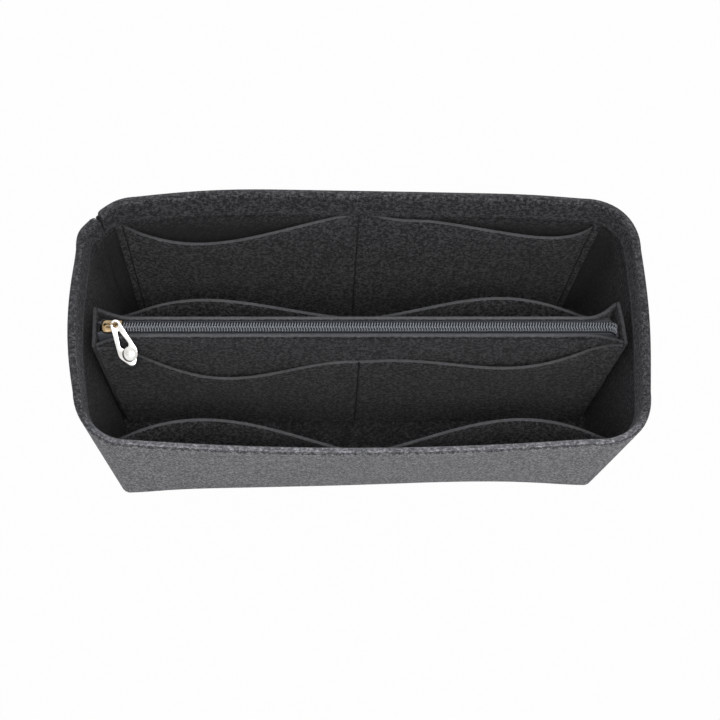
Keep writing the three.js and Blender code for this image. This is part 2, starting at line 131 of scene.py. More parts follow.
def spaced(start: float, end: float, step: float) -> list[float]:
    """Return even places from start to end, at most a step apart."""
    count = max(1, math.ceil(abs(end - start) / step))
    return [lerp(start, end, index / count) for index in range(count + 1)]


def merged_places(*lists: list[float], least: float = 0.12) -> list[float]:
    """Join lists of places into one sorted list, where places closer than the least become one."""
    places: list[float] = []
    for place in sorted(value for values in lists for value in values):
        if not places or place - places[-1] > least:
            places.append(place)
    return places


# Finishes


class Graph:
    """A node tree under construction."""

    def __init__(self, tree: bpy.types.NodeTree) -> None:
        """Work on a tree."""
        self.tree = tree

    def feed(self, target: Socket, value: object) -> None:
        """Join a socket to an input, or set a constant on it."""
        if isinstance(value, Socket):
            self.tree.links.new(value, target)
        else:
            target.default_value = value

    def add(self, kind: str, given: Optional[Inputs] = None, **settings: object) -> bpy.types.Node:
        """Add a node.

        Args:
            kind: Type of the node.
            given: Sockets or constants for the node's inputs, by name or number.
            settings: Properties of the node.

        Returns:
            The node.
        """
        node = self.tree.nodes.new(kind)
        for key, value in settings.items():
            setattr(node, key, value)
        for key, value in (given or {}).items():
            self.feed(node.inputs[key], value)
        return node

    def maths(self, kind: str, first: object, second: object = 0.0) -> Socket:
        """Return a sum, product or other combination of two values."""
        return self.add("ShaderNodeMath", {0: first, 1: second}, operation=kind).outputs["Value"]

    def product(self, first: Socket, *others: object) -> Socket:
        """Return the product of values."""
        for other in others:
            first = self.maths("MULTIPLY", first, other)
        return first


@dataclass(frozen=True)
class Grain:
    """A noise pattern on object coordinates."""

    scale: float
    detail: float
    rough: float = 0.6
    stretch: Triple = (1.0, 1.0, 1.0)
    turn: Triple = (0.0, 0.0, 0.0)


class Sketch(Graph):
    """A material under construction."""

    def __init__(self, name: str) -> None:
        """Start an empty material with a Principled shader."""
        self.material = bpy.data.materials.new(name)
        self.material.use_nodes = True
        super().__init__(self.material.node_tree)
        self.shader = self.tree.nodes["Principled BSDF"]

    @cached_property
    def place(self) -> Socket:
        """Return object coordinates."""
        return self.add("ShaderNodeTexCoord").outputs["Object"]

    def finish(self, **values: object) -> Material:
        """Feed the shader, with underscores for the spaces in a socket's name, and return the material."""
        for key, value in values.items():
            self.feed(self.shader.inputs[key.replace("_", " ")], value)
        return self.material

    def axis(self, vector: Socket, name: str) -> Socket:
        """Return one part of a vector."""
        return self.add("ShaderNodeSeparateXYZ", {"Vector": vector}).outputs[name]

    def noise(self, grain: Grain) -> Socket:
        """Return the value of a noise texture."""
        given = {"Vector": self.place, "Scale": grain.stretch, "Rotation": grain.turn}
        place = self.add("ShaderNodeMapping", given).outputs["Vector"]
        given = {"Vector": place, "Scale": grain.scale, "Detail": grain.detail, "Roughness": grain.rough}
        return self.add("ShaderNodeTexNoise", given).outputs["Fac"]

    def ramp(self, value: Socket, *stops: tuple[float, Triple]) -> Socket:
        """Return a colour ramp's colour for a value."""
        node = self.add("ShaderNodeValToRGB", {"Fac": value})
        elements = node.color_ramp.elements
        while len(elements) < len(stops):
            elements.new(0.5)
        for element, (place, colour) in zip(elements, stops):
            element.position = place
            element.color = (*colour, 1.0)
        return node.outputs["Color"]

    def range(self, value: Socket, low: float, high: float) -> Socket:
        """Return a value between 0 and 1 spread over a new range."""
        given = {"Value": value, "To Min": low, "To Max": high}
        return self.add("ShaderNodeMapRange", given).outputs["Result"]

    def mark(self, name: str) -> Socket:
        """Return the value of a named attribute of the mesh, 0 where it has none."""
        return self.add("ShaderNodeAttribute", attribute_name=name).outputs["Fac"]

    def blend(self, first: Socket, second: Socket, share: Socket) -> Socket:
        """Return a value that goes from the first to the second as the share goes from 0 to 1."""
        given = {"Factor": share, "A": first, "B": second}
        return self.add("ShaderNodeMix", given, data_type="FLOAT").outputs["Result"]

    def tinted(self, colour: Socket, value: Socket) -> Socket:
        """Return a colour multiplied by a grey value."""
        given = {"Factor": 1.0, "A": colour, "B": value}
        return self.add("ShaderNodeMix", given, data_type="RGBA", blend_type="MULTIPLY").outputs["Result"]

    def bump(self, height: Socket, strength: float, distance: float) -> Socket:
        """Return a normal bumped by a height value, with the distance in millimetres."""
        given = {"Height": height, "Strength": strength, "Distance": distance * MM}
        return self.add("ShaderNodeBump", given).outputs["Normal"]


@dataclass(frozen=True)
class FeltFinish:
    """Heathered needle felt: mixed dark and light fibres, a fine nap and no gloss."""

    name: str
    dark: Triple
    middle: Triple
    light: Triple
    nap: float = 0.55
    nap_height: float = 0.5
    # Painted shade towards both ends along X: its level at the ends, and the run over which it falls.
    shade_at_ends: float = 1.0
    end_run: Span = (108.0, 134.0)
    # How strongly the mark shows: painted light and wear on the crest, painted shade on the inner faces.
    light_and_wear_gain: float = 0.6
    contrast: Span = (2.3, 2.6)
    calm: float = 0.7
    soft: Grain = Grain(640, 4.0, 0.8, (0.9, 1.0, 0.6))
    upright: Grain = Grain(780, 4.0, 0.8, (1.0, 1.0, 0.4))
    strand: Grain = Grain(1250, 2.0, 0.6, (0.35, 1.0, 1.0))
    cloud: Grain = Grain(75, 4.0)
    fibre: Grain = Grain(1900, 5.0, 0.7)
    strand_share: float = 0.3
    tones: Triple = (0.39, 0.5, 0.61)
    cloud_range: Span = (0.7, 1.3)

    def build(self) -> Material:
        """Return the finish as a material."""
        sketch = Sketch(self.name)
        outside, wear = sketch.mark(OUTSIDE), sketch.mark(LIGHT_AND_WEAR)
        fleck = sketch.blend(sketch.noise(self.soft), sketch.noise(self.upright), outside)
        strand = sketch.product(sketch.noise(self.strand), self.strand_share)
        mixed = sketch.maths("ADD", sketch.product(fleck, 1 - self.strand_share), strand)
        normal = sketch.add("ShaderNodeNewGeometry").outputs["Normal"]
        upward = sketch.maths("ABSOLUTE", sketch.axis(normal, "Z"))
        quiet = (sketch.range(value, 1.0, 1.0 - self.calm) for value in (upward, wear))
        strength = sketch.product(sketch.range(outside, *self.contrast), sketch.maths("MINIMUM", *quiet))
        swing = sketch.product(sketch.maths("SUBTRACT", mixed, 0.5), strength)
        shades = zip(self.tones, (self.dark, self.middle, self.light))
        colour = sketch.ramp(sketch.maths("ADD", swing, 0.5), *shades)
        cloud = sketch.range(sketch.noise(self.cloud), *self.cloud_range)
        # The mark paints light on the rim's crest, partly as wear, and paints shade on the hem and the
        # wall's inner face.
        lift = sketch.maths("ADD", sketch.product(wear, self.light_and_wear_gain), 1.0)
        level = sketch.product(cloud, lift, self.painted_end_shade(sketch))
        fibre = sketch.noise(self.fibre)
        return sketch.finish(
            Base_Color=sketch.tinted(colour, level),
            Normal=sketch.bump(sketch.maths("ADD", fibre, mixed), self.nap, self.nap_height),
            Roughness=sketch.range(fibre, 0.86, 1.0),
            Sheen_Weight=0.18, Sheen_Roughness=0.55, Specular_IOR_Level=0.12,
        )

    def painted_end_shade(self, sketch: Sketch) -> Socket:
        """Return the painted shade along X: 1 in the middle and the set level at both ends, which lie deeper
        in shade.
        """
        near, far = (place * MM for place in self.end_run)
        past = sketch.maths("SUBTRACT", sketch.maths("ABSOLUTE", sketch.axis(sketch.place, "X")), near)
        return sketch.range(sketch.maths("DIVIDE", past, far - near), 1.0, self.shade_at_ends)


@dataclass(frozen=True)
class TwoToneFinish:
    """What the finishes with a colour and a darker shade have in common."""

    name: str
    colour: Triple
    shade: Triple


@dataclass(frozen=True)
class ThreadFinish(TwoToneFinish):
    """Spun sewing thread with a soft sheen and a twist along it."""

    twist: Grain = Grain(2600, 2.0, 0.5, (1.0, 2.2, 1.0), (0.0, 0.0, 0.6))

    def build(self) -> Material:
        """Return the finish as a material."""
        sketch = Sketch(self.name)
        twist = sketch.noise(self.twist)
        return sketch.finish(
            Base_Color=sketch.ramp(twist, (0.35, self.shade), (0.65, self.colour)),
            Roughness=sketch.range(twist, 0.55, 0.8),
            Normal=sketch.bump(twist, 0.4, 0.1),
            Sheen_Weight=0.15, Sheen_Roughness=0.4,
        )


@dataclass(frozen=True)
class TapeFinish(TwoToneFinish):
    """Woven zip tape: fine ribs along its length crossed by finer picks."""

    rib: float = 0.55
    pick: float = 0.35
    wear: Grain = Grain(420, 3.0)

    def build(self) -> Material:
        """Return the finish as a material."""
        sketch = Sketch(self.name)
        weave = sketch.product(self.band(sketch, "Y", self.rib), self.band(sketch, "X", self.pick))
        worn = sketch.product(weave, sketch.range(sketch.noise(self.wear), 0.7, 1.25))
        return sketch.finish(
            Base_Color=sketch.ramp(worn, (0.0, self.shade), (0.75, self.colour)),
            Roughness=sketch.range(worn, 0.8, 0.6),
            Normal=sketch.bump(weave, 0.35, 0.12),
            Sheen_Weight=0.2, Sheen_Roughness=0.35,
        )

    @staticmethod
    def band(sketch: Sketch, axis: str, pitch: float) -> Socket:
        """Return the value of a band texture across an axis, with a pitch in millimetres."""
        given = {"Vector": sketch.place, "Scale": math.pi / (10 * pitch * MM)}
        node = sketch.add("ShaderNodeTexWave", given, wave_type="BANDS", bands_direction=axis)
        return sketch.range(node.outputs["Fac"], 0.35, 1.0)


@dataclass(frozen=True)
class NylonFinish(TwoToneFinish):
    """Drawn nylon of the zip's coil, satin with a slight grain."""

    grain: Grain = Grain(950, 3.0)

    def build(self) -> Material:
        """Return the finish as a material."""
        sketch = Sketch(self.name)
        grain = sketch.noise(self.grain)
        return sketch.finish(
            Base_Color=sketch.ramp(grain, (0.3, self.shade), (0.7, self.colour)),
            Roughness=sketch.range(grain, 0.34, 0.5),
            Normal=sketch.bump(grain, 0.15, 0.05),
            Specular_IOR_Level=0.5, Coat_Weight=0.1, Coat_Roughness=0.3,
        )


@dataclass(frozen=True)
class MetalFinish(TwoToneFinish):
    """Plated zinc casting with faint polishing lines and a little tarnish as its shade."""

    polish: Span
    cloud: Grain = Grain(260, 4.0)
    lines: Grain = Grain(3200, 2.0, 0.5, (1.0, 0.12, 1.0), (0.0, 0.0, 0.4))

    def build(self) -> Material:
        """Return the finish as a material."""
        sketch = Sketch(self.name)
        lines = sketch.noise(self.lines)
        return sketch.finish(
            Base_Color=sketch.ramp(sketch.noise(self.cloud), (0.3, self.shade), (0.55, self.colour)),
            Roughness=sketch.range(lines, *self.polish),
            Normal=sketch.bump(lines, 0.05, 0.03),
            Metallic=1.0,
        )


@dataclass
class Finishes:
    """Every finish of the object as a built material."""

    felt: Material
    cut: Material
    thread: Material
    hem_thread: Material
    tape: Material
    coil: Material
    coil_thread: Material
    slider: Material
    pull: Material

    @classmethod
    def make(cls) -> "Finishes":
        """Build the materials and return them."""
        finishes = (
            FeltFinish("charcoal_felt", (0.02, 0.02, 0.0215), (0.073, 0.073, 0.0765), (0.235, 0.233, 0.24)),
            # The cut edges are paler felt, partly their own colour and partly painted light, as they face up
            # into the light; towards the ends painted shade darkens them.
            FeltFinish("cut_felt_edge", (0.18, 0.18, 0.184), (0.25, 0.25, 0.255), (0.33, 0.33, 0.335),
                       nap=0.8, shade_at_ends=0.55),
            ThreadFinish("black_thread", (0.024, 0.024, 0.027), (0.01, 0.01, 0.012)),
            ThreadFinish("charcoal_thread", (0.16, 0.16, 0.165), (0.08, 0.08, 0.083)),
            TapeFinish("slate_tape", (0.23, 0.24, 0.27), (0.1, 0.105, 0.12)),
            NylonFinish("slate_nylon", (0.7, 0.72, 0.76), (0.47, 0.49, 0.53)),
            # Near black cord and root thread: partly their own colour and partly painted shade between the
            # coil's turns and along its roots.
            ThreadFinish("coil_thread", (0.02, 0.023, 0.03), (0.008, 0.009, 0.012)),
            MetalFinish("pale_gold", (0.47, 0.35, 0.205), (0.2, 0.135, 0.072), (0.12, 0.26)),
            MetalFinish("bright_nickel", (0.86, 0.85, 0.83), (0.66, 0.64, 0.6), (0.08, 0.2)),
        )
        return cls(*(finish.build() for finish in finishes))


# Meshes


def new_object(name: str, data: bpy.types.ID) -> Thing:
    """Link a mesh, curve, lamp or camera to the scene as an object at the origin."""
    thing = bpy.data.objects.new(name, data)
    bpy.context.scene.collection.objects.link(thing)
    return thing


def new_mesh(name: str, points: list, edges: list, faces: list) -> Mesh:
    """Return a mesh of points, edges and faces."""
    mesh = bpy.data.meshes.new(name)
    mesh.from_pydata(points, edges, faces)
    return mesh


def baked(name: str, holder: Thing) -> Mesh:
    """Return the mesh of an object with its modifiers applied, and remove the object."""
    bpy.context.view_layer.update()
    evaluated = holder.evaluated_get(bpy.context.evaluated_depsgraph_get())
    mesh = bpy.data.meshes.new_from_object(evaluated)
    mesh.name = name
    bpy.data.objects.remove(holder)
    return mesh


def shade_smooth(mesh: Mesh) -> None:
    """Shade every face of a mesh smooth."""
    mesh.polygons.foreach_set("use_smooth", [True] * len(mesh.polygons))


def face_outwards(mesh: Mesh, merge: float = 0.0) -> None:
    """Turn a mesh's faces outwards, after merging points closer than a distance in metres."""
    work = bmesh.new()
    work.from_mesh(mesh)
    if merge:
        bmesh.ops.remove_doubles(work, verts=work.verts, dist=merge)
    bmesh.ops.recalc_face_normals(work, faces=work.faces)
    work.to_mesh(mesh)
    work.free()


def sheet_mesh(name: str, rows: Rows) -> tuple[Mesh, list[int]]:
    """Make a closed sheet over rows of pairs, each a point on one skin and the point behind it.

    Args:
        name: Name of the mesh.
        rows: Rows of pairs along the sheet, in millimetres.

    Returns:
        The mesh in metres, and 1 for each face that is a cut edge or 0 for one of the skins.
    """
    pairs = len(rows[0])
    count = 2 * pairs
    points: Path = []
    for row in rows:
        points.extend(face * MM for face, _ in row)
        points.extend(back * MM for _, back in reversed(row))
    last = len(points) - count
    faces: list[tuple[int, int, int, int]] = []
    is_cut: list[int] = []
    for start in range(0, last, count):
        for index in range(count):
            after = start + (index + 1) % count
            faces.append((start + index, after, after + count, start + index + count))
            is_cut.append(int(index in (pairs - 1, count - 1)))
    for index in range(pairs - 1):
        behind = count - 1 - index
        faces.append((index, behind, behind - 1, index + 1))
        faces.append((last + index, last + index + 1, last + behind - 1, last + behind))
        is_cut.extend((1, 1))
    return new_mesh(name, points, [], faces), is_cut


def sheet_object(name: str, rows: Rows, skins: tuple[Material, Material], edge: float,
                 marks: Optional[dict[str, list[list[float]]]] = None) -> Thing:
    """Make a closed sheet with rounded edges as a piece.

    Args:
        name: Name of the piece.
        rows: Rows of pairs along the sheet, in millimetres.
        skins: Material of the two skins, then of the cut edges.
        edge: Rounding of the cut edges.
        marks: Named values for each row, along the first skin and back along the second.

    Returns:
        The piece as an object.
    """
    mesh, is_cut = sheet_mesh(name, rows)
    for skin in skins:
        mesh.materials.append(skin)
    mesh.polygons.foreach_set("material_index", is_cut)
    for mark, values in (marks or {}).items():
        layer = mesh.attributes.new(mark, "FLOAT", "POINT")
        layer.data.foreach_set("value", [value for row in values for value in row])
    face_outwards(mesh)
    shade_smooth(mesh)
    piece = new_object(name, mesh)
    bevel = piece.modifiers.new("rounded_edges", "BEVEL")
    bevel.width = edge * MM
    bevel.segments = 2
    bevel.limit_method = "ANGLE"
    bevel.angle_limit = math.radians(50)
    return piece


def flat_plate(outlines: list[Path], thickness: float, rounding: float) -> Mesh:
    """Make a plate with rounded edges about the XY plane.

    Args:
        outlines: The outer outline and any holes, in millimetres.
        thickness: Thickness of the plate, half above the plane and half below it.
        rounding: Radius of the plate's edges.

    Returns:
        The plate as a mesh in metres.
    """
    curve = bpy.data.curves.new("plate", "CURVE")
    curve.dimensions = "2D"
    curve.fill_mode = "BOTH"
    curve.extrude = (thickness / 2 - rounding) * MM
    curve.bevel_depth = rounding * MM
    curve.bevel_resolution = 3
    curve.offset = -rounding * MM
    for outline in outlines:
        spline = curve.splines.new("POLY")
        spline.use_cyclic_u = True
        spline.points.add(len(outline) - 1)
        for point, place in zip(spline.points, outline):
            point.co = (place.x * MM, place.y * MM, 0.0, 1.0)
    mesh = baked("plate", new_object("plate", curve))
    face_outwards(mesh, WELD)
    return mesh


def joined(name: str, meshes: list[Mesh]) -> Mesh:
    """Join meshes into one mesh and remove them."""
    work = bmesh.new()
    for mesh in meshes:
        work.from_mesh(mesh)
        bpy.data.meshes.remove(mesh)
    result = bpy.data.meshes.new(name)
    work.to_mesh(result)
    work.free()
    return result


def tube_mesh(name: str, path: Path, radius: float, sides: int) -> Mesh:
    """Make a closed tube along a path in millimetres, with flat ends, as a mesh in metres."""
    rings: Path = []
    up = Vector((0.3, 0.2, 1.0))
    for index, point in enumerate(path):
        ahead = path[min(index + 1, len(path) - 1)] - path[max(index - 1, 0)]
        across = ahead.cross(up).normalized()
        up = across.cross(ahead).normalized()
        for side in range(sides):
            angle = 2 * math.pi * side / sides
            rings.append((point + (across * math.cos(angle) + up * math.sin(angle)) * radius) * MM)
    last = len(rings) - sides
    faces: list[tuple[int, ...]] = [tuple(range(sides)), tuple(range(last, len(rings)))]
    for start in range(0, last, sides):
        for side in range(sides):
            after = start + (side + 1) % sides
            faces.append((start + side, after, after + sides, start + side + sides))
    mesh = new_mesh(name, rings, [], faces)
    face_outwards(mesh)
    return mesh


def stitch_mesh(length: float, radius: float, dive: float = 0.0) -> Mesh:
    """Make one stitch along X that dives into the cloth at both ends."""
    half = length / 2
    bends = ((1.0, -radius - dive), (0.82, -radius * 0.2), (0.4, radius * 0.15))
    path = [Vector((-half * share, 0, z)) for share, z in bends]
    path += [Vector((half * share, 0, z)) for share, z in reversed(bends)]
    return tube_mesh("stitch", path, radius, WIRE_SIDES)


@dataclass
class Piece:
    """A finished object and what the frame needs to know of it."""

    thing: Thing
    body: Body
    slot: Slot
    stands_for: list[str] = field(default_factory=list)

    def settle(self) -> None:
        """Tell the frame which body the piece rides on and which nodes it stands for."""
        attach(self.thing, self.body.value)
        if self.stands_for:
            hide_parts(*self.stands_for)
        LOG.info("%s rides on %s", self.thing.name, self.body.value)


class RepeatTree(Graph):
    """Geometry Nodes tree that sets copies of a shape along the edges of a path."""

    INPUTS = {
        "Shape": "NodeSocketObject",
        "Pitch": "NodeSocketFloat",
        "Turn": "NodeSocketFloat",
        "Unevenness": "NodeSocketFloat",
        "Seed": "NodeSocketInt",
        "Finish": "NodeSocketMaterial",
    }

    def __init__(self) -> None:
        """Build the tree with named inputs."""
        super().__init__(bpy.data.node_groups.new("repeat_along_path", "GeometryNodeTree"))
        face = self.tree.interface
        face.new_socket("Geometry", in_out="INPUT", socket_type="NodeSocketGeometry")
        self.keys = {
            name: face.new_socket(name, in_out="INPUT", socket_type=kind).identifier
            for name, kind in self.INPUTS.items()
        }
        face.new_socket("Geometry", in_out="OUTPUT", socket_type="NodeSocketGeometry")
        self.wire()

    def wire(self) -> None:
        """Add the tree's nodes and join them."""
        inputs = self.add("NodeGroupInput").outputs
        path = self.add("GeometryNodeMeshToCurve", {"Mesh": inputs["Geometry"]}).outputs["Curve"]
        given = {"Curve": path, "Length": inputs["Pitch"]}
        places = self.add("GeometryNodeCurveToPoints", given, mode="LENGTH").outputs
        given = {"Object": inputs["Shape"]}
        shape = self.add("GeometryNodeObjectInfo", given, transform_space="ORIGINAL").outputs["Geometry"]
        given = {"Vector": places["Tangent"]}
        along = self.add("FunctionNodeAlignRotationToVector", given, axis="X", pivot_axis="AUTO")
        given = {"Axis": (0.0, 0.0, 1.0), "Angle": inputs["Turn"]}
        spin = self.add("FunctionNodeAxisAngleToRotation", given)
        given = {"Rotation": along.outputs["Rotation"], "Rotate By": spin.outputs["Rotation"]}
        turned = self.add("FunctionNodeRotateRotation", given, rotation_space="LOCAL").outputs["Rotation"]
        given = {2: self.maths("SUBTRACT", 1.0, inputs["Unevenness"]), 3: 1.0, "Seed": inputs["Seed"]}
        size = self.add("FunctionNodeRandomValue", given, data_type="FLOAT")
        given = {"Points": places["Points"], "Instance": shape, "Rotation": turned, "Scale": size.outputs[1]}
        copies = self.add("GeometryNodeInstanceOnPoints", given).outputs["Instances"]
        real = self.add("GeometryNodeRealizeInstances", {"Geometry": copies}).outputs["Geometry"]
        dressed = self.add("GeometryNodeSetMaterial", {"Geometry": real, "Material": inputs["Finish"]})
        self.add("NodeGroupOutput", {"Geometry": dressed.outputs["Geometry"]})

    def run(self, name: str, paths: list[Path], shape: Mesh, pitch: float, finish: Material,
            turn: float = 0.0, unevenness: float = 0.0, seed: int = 7) -> Thing:
        """Set a shape along paths and return the result as a plain object.

        Args:
            name: Name of the piece.
            paths: Rows of points in millimetres.
            shape: Mesh of one copy, along X, in metres.
            pitch: Distance from one copy to the next in millimetres.
            finish: Material of the copies.
            turn: Turn of each copy about its own Z, in radians.
            unevenness: Greatest share by which a copy is smaller than the shape.
            seed: Seed of the random sizes.

        Returns:
            The piece as an object at the origin.
        """
        points: Path = []
        edges: list[tuple[int, int]] = []
        for path in paths:
            start = len(points)
            points.extend(point * MM for point in path)
            edges.extend((index, index + 1) for index in range(start, len(points) - 1))
        line = new_mesh(name + "_path", points, edges, [])
        holder = new_object(name + "_path", line)
        pattern = new_object(name + "_shape", shape)
        modifier = holder.modifiers.new("repeat", "NODES")
        modifier.node_group = self.tree
        values = {"Shape": pattern, "Pitch": pitch * MM, "Turn": turn, "Unevenness": unevenness,
                  "Seed": seed, "Finish": finish}
        for key, value in values.items():
            modifier[self.keys[key]] = value
        result = baked(name, holder)
        bpy.data.objects.remove(pattern)
        for spare in (line, shape):
            bpy.data.meshes.remove(spare)
        shade_smooth(result)
        return new_object(name, result)


# Outer wall


@dataclass(frozen=True)
class Section:
    """The wall's rounded, bowed outline at one height."""

    half_length: float
    half_depth: float
    corner: float
    side_bow: float
    end_bow: float

    def side(self, is_end: bool) -> Triple:
        """Return how far out a side lies, half of its straight run, and its bow."""
        if is_end:
            return self.half_length, self.half_depth - self.corner, self.end_bow
        return self.half_depth, self.half_length - self.corner, self.side_bow


@dataclass(frozen=True)
class Push:
    """A soft local push of the felt, strongest at its place and fading over its reach."""

    place: Span
    reach: Span
    move: Span
    at_base: float = 0.0
    at_rim: float = 1.0

    def on(self, point: Vector, rise: float) -> Vector:
        """Return how far the push moves a point at a share of the height."""
        away_x = (point.x - self.place[0]) / self.reach[0]
        away_y = (point.y - self.place[1]) / self.reach[1]
        weight = math.exp(-away_x * away_x - away_y * away_y) * lerp(self.at_base, self.at_rim, rise)
        return Vector((self.move[0] * weight, self.move[1] * weight, 0.0))


WALL_PUSHES = (
    Push((-78, 66), (52, 40), (0.0, 2.5)),
    Push((95, 66), (36, 40), (0.0, 1.0)),
    Push((-150, 6), (30, 42), (-1.3, 0.0)),
    Push((143, -60), (20, 24), (1.8, -1.8), 0.4),
    Push((143, 60), (20, 24), (1.2, 0.9)),
    Push((-144, -52), (26, 26), (1.5, -0.2), 1.0, 0.8),
    Push((-140, -56), (26, 30), (0.0, -1.4), 1.0, 0.0),
    Push((140, -56), (34, 30), (0.0, -2.2), 1.0, 0.0),
    Push((60, -56), (50, 30), (0.0, 0.9), 1.0, 0.0),
    Push((-145, 47), (9, 9), (-1.3, 0.7)),
)
POUCH_PUSHES = (
    Push((140, 14), (11, 8), (-2.4, 3.0)),
    Push((140, -10), (14, 7), (0.6, 1.6)),
)
NOTCH_SHARES = (0.0, 0.03, 0.1, 0.2, 0.35, 0.55, 0.78, 1.0)


@dataclass
class OuterWall:
    """The felt strip that makes the box's four walls, with its folded rim and its base panel."""

    rim_length: float = 300.0
    rim_depth: float = 143.2
    base_length: float = 288.4
    base_depth: float = 112.0
    height: float = 160.0
    rim_corner: float = 29.0
    base_corner: float = 6.0
    side_bow: float = 4.7
    end_bow: float = 2.6
    felt: float = 1.8
    sewn_gap: float = 0.3
    base_tuck: float = 0.05
    hem_depth: float = 21.0
    hem_gap: float = 0.4
    hem_stand: float = 0.6
    seam_turn: float = math.radians(47)
    seam_slit: float = 1.6
    seam_foot: float = 2.2
    seam_head: float = 5.0
    seam_step: float = 2.0
    step_turn: float = math.radians(18)
    back_end_step: float = 0.5
    left_end_step: float = 1.0
    left_step_run: float = 0.5
    left_notch: float = 4.5
    back_notch: float = 2.6
    notch_splay: float = 0.5
    splay_rise: float = 15.0
    base_twist: float = math.radians(1.0)
    pushes: tuple[Push, ...] = WALL_PUSHES
    grid: float = 3.0
    base_grid: float = 4.0
    base_corner_grid: float = 0.5
    base_columns: int = 14
    corner_grid: float = math.radians(6)
    seam_grid: float = math.radians(3)
    fold_grid: float = math.radians(10)
    edge: float = 0.5
    crest_drop: float = 0.2
    inner_edge: float = 0.3
    outside_edge: float = 0.05
    # Painted light on the crest all round, partly standing for wear, and much more painted light on the
    # front crest's inner side.
    crest_light_and_wear: float = 0.5
    front_painted_light: float = 4.0
    front_span: Span = (0.35, 0.46)
    rear_span: Span = (0.2, 0.42)
    # Painted shade on the hem's face below the crest, and on the wall's inner face: lighter near the hem,
    # darker low down and most on the back wall.
    hem_painted_shade: float = 0.3
    high_shade: float = 0.35
    low_shade: Span = (0.95, 1.45)
    shade_reach: Span = (110.0, 23.0)
    topstitch_turn: float = math.radians(62)
    topstitch_reach: float = math.radians(24)
    topstitch_drop: float = 0.4
    groove: float = 0.35
    hem_groove: float = 0.4
    hem_groove_reach: float = 0.9
    hem_stitch_rise: float = 3.0
    hem_stitch_land: float = 1.2
    hem_stitch_step: float = 0.5
    hem_rows: int = 6
    stitch_sink: float = 0.15

    @property
    def hem_foot(self) -> float:
        """Return the height of the hem's lower edge."""
        return self.height - self.hem_depth

    @property
    def hem_stitch(self) -> float:
        """Return the height of the hem's line of stitches."""
        return self.hem_foot + self.hem_stitch_rise

    @property
    def face_radius(self) -> float:
        """Return the outer radius of the rim's fold."""
        return self.felt + self.hem_gap / 2

    @property
    def floor_top(self) -> float:
        """Return the height at which the pieces that stand on the base panel start."""
        return self.felt + self.sewn_gap

    def section(self, z: float) -> Section:
        """Return the outline at a height."""
        share = z / self.height
        return Section(
            lerp(self.base_length / 2, self.rim_length / 2 - self.end_bow, share),
            lerp(self.base_depth / 2, self.rim_depth / 2 - self.side_bow, share),
            lerp(self.base_corner, self.rim_corner, share),
            self.side_bow * share,
            self.end_bow * share,
        )

    def slumped(self, point: Vector) -> Vector:
        """Return a point moved as the soft box is: its base twisted a little, its sides pushed."""
        rise = point.z / self.height
        turned = Matrix.Rotation(self.base_twist * (1 - rise), 3, "Z") @ point
        for push in self.pushes:
            turned += push.on(point, rise)
        return turned

    def placed(self, side: Side, out: float, along: float, z: float) -> Vector:
        """Return the slumped point at a distance out from the middle and along a side."""
        out_x, out_y = side.value
        return self.slumped(Vector((out_x * out - out_y * along, out_y * out + out_x * along, z)))

    def side_station(self, side: Side, share: float) -> Station:
        """Return a station on a side, from -1 at its start to 1 at its end."""

        def at(z: float, inset: float) -> Vector:
            """Return the point at a height and an inset."""
            reach, run, bow = self.section(z).side(side.is_end)
            return self.placed(side, reach - inset + bow * (1 - share * share), run * share, z)

        return at

    def corner_station(self, side: Side, turn: float, step: float = 0.0, splay: float = 0.0) -> Station:
        """Return a station on a corner.

        Args:
            side: The side before the corner.
            turn: Angle round the corner from the end of that side.
            step: How far inside the outline the station is at the rim.
            splay: How far along the strip the station leans close to the rim.

        Returns:
            The station.
        """

        def at(z: float, inset: float) -> Vector:
            """Return the point at a height and an inset."""
            line = self.section(z)
            reach, run, _ = line.side(side.is_end)
            radius = line.corner - inset - step * z / self.height
            lean = smooth_step(z, self.height - self.splay_rise, self.height)
            angle = turn + splay / self.rim_corner * lean
            out = reach - line.corner + radius * math.cos(angle)
            return self.placed(side, out, run + radius * math.sin(angle), z)

        return at

    def notch_station(self, share: float, start: float, radius: float, step: float, way: int) -> Post:
        """Return a station on a rounded end of the strip, and the drop of the rim there.

        Args:
            share: Share of the rounding from the strip's end.
            start: Angle of the strip's end round the corner.
            radius: Radius of the rounding.
            step: How far inside the outline the end is at the rim.
            way: 1 if the strip runs on from its end, -1 if it runs up to it.

        Returns:
            The station and the drop.
        """
        turn = start + way * share * (radius / self.rim_corner)
        drop = radius * (1 - math.sqrt(1 - (1 - share) ** 2))
        return self.corner_station(Side.BACK, turn, step, way * self.notch_splay * (1 - share)), drop

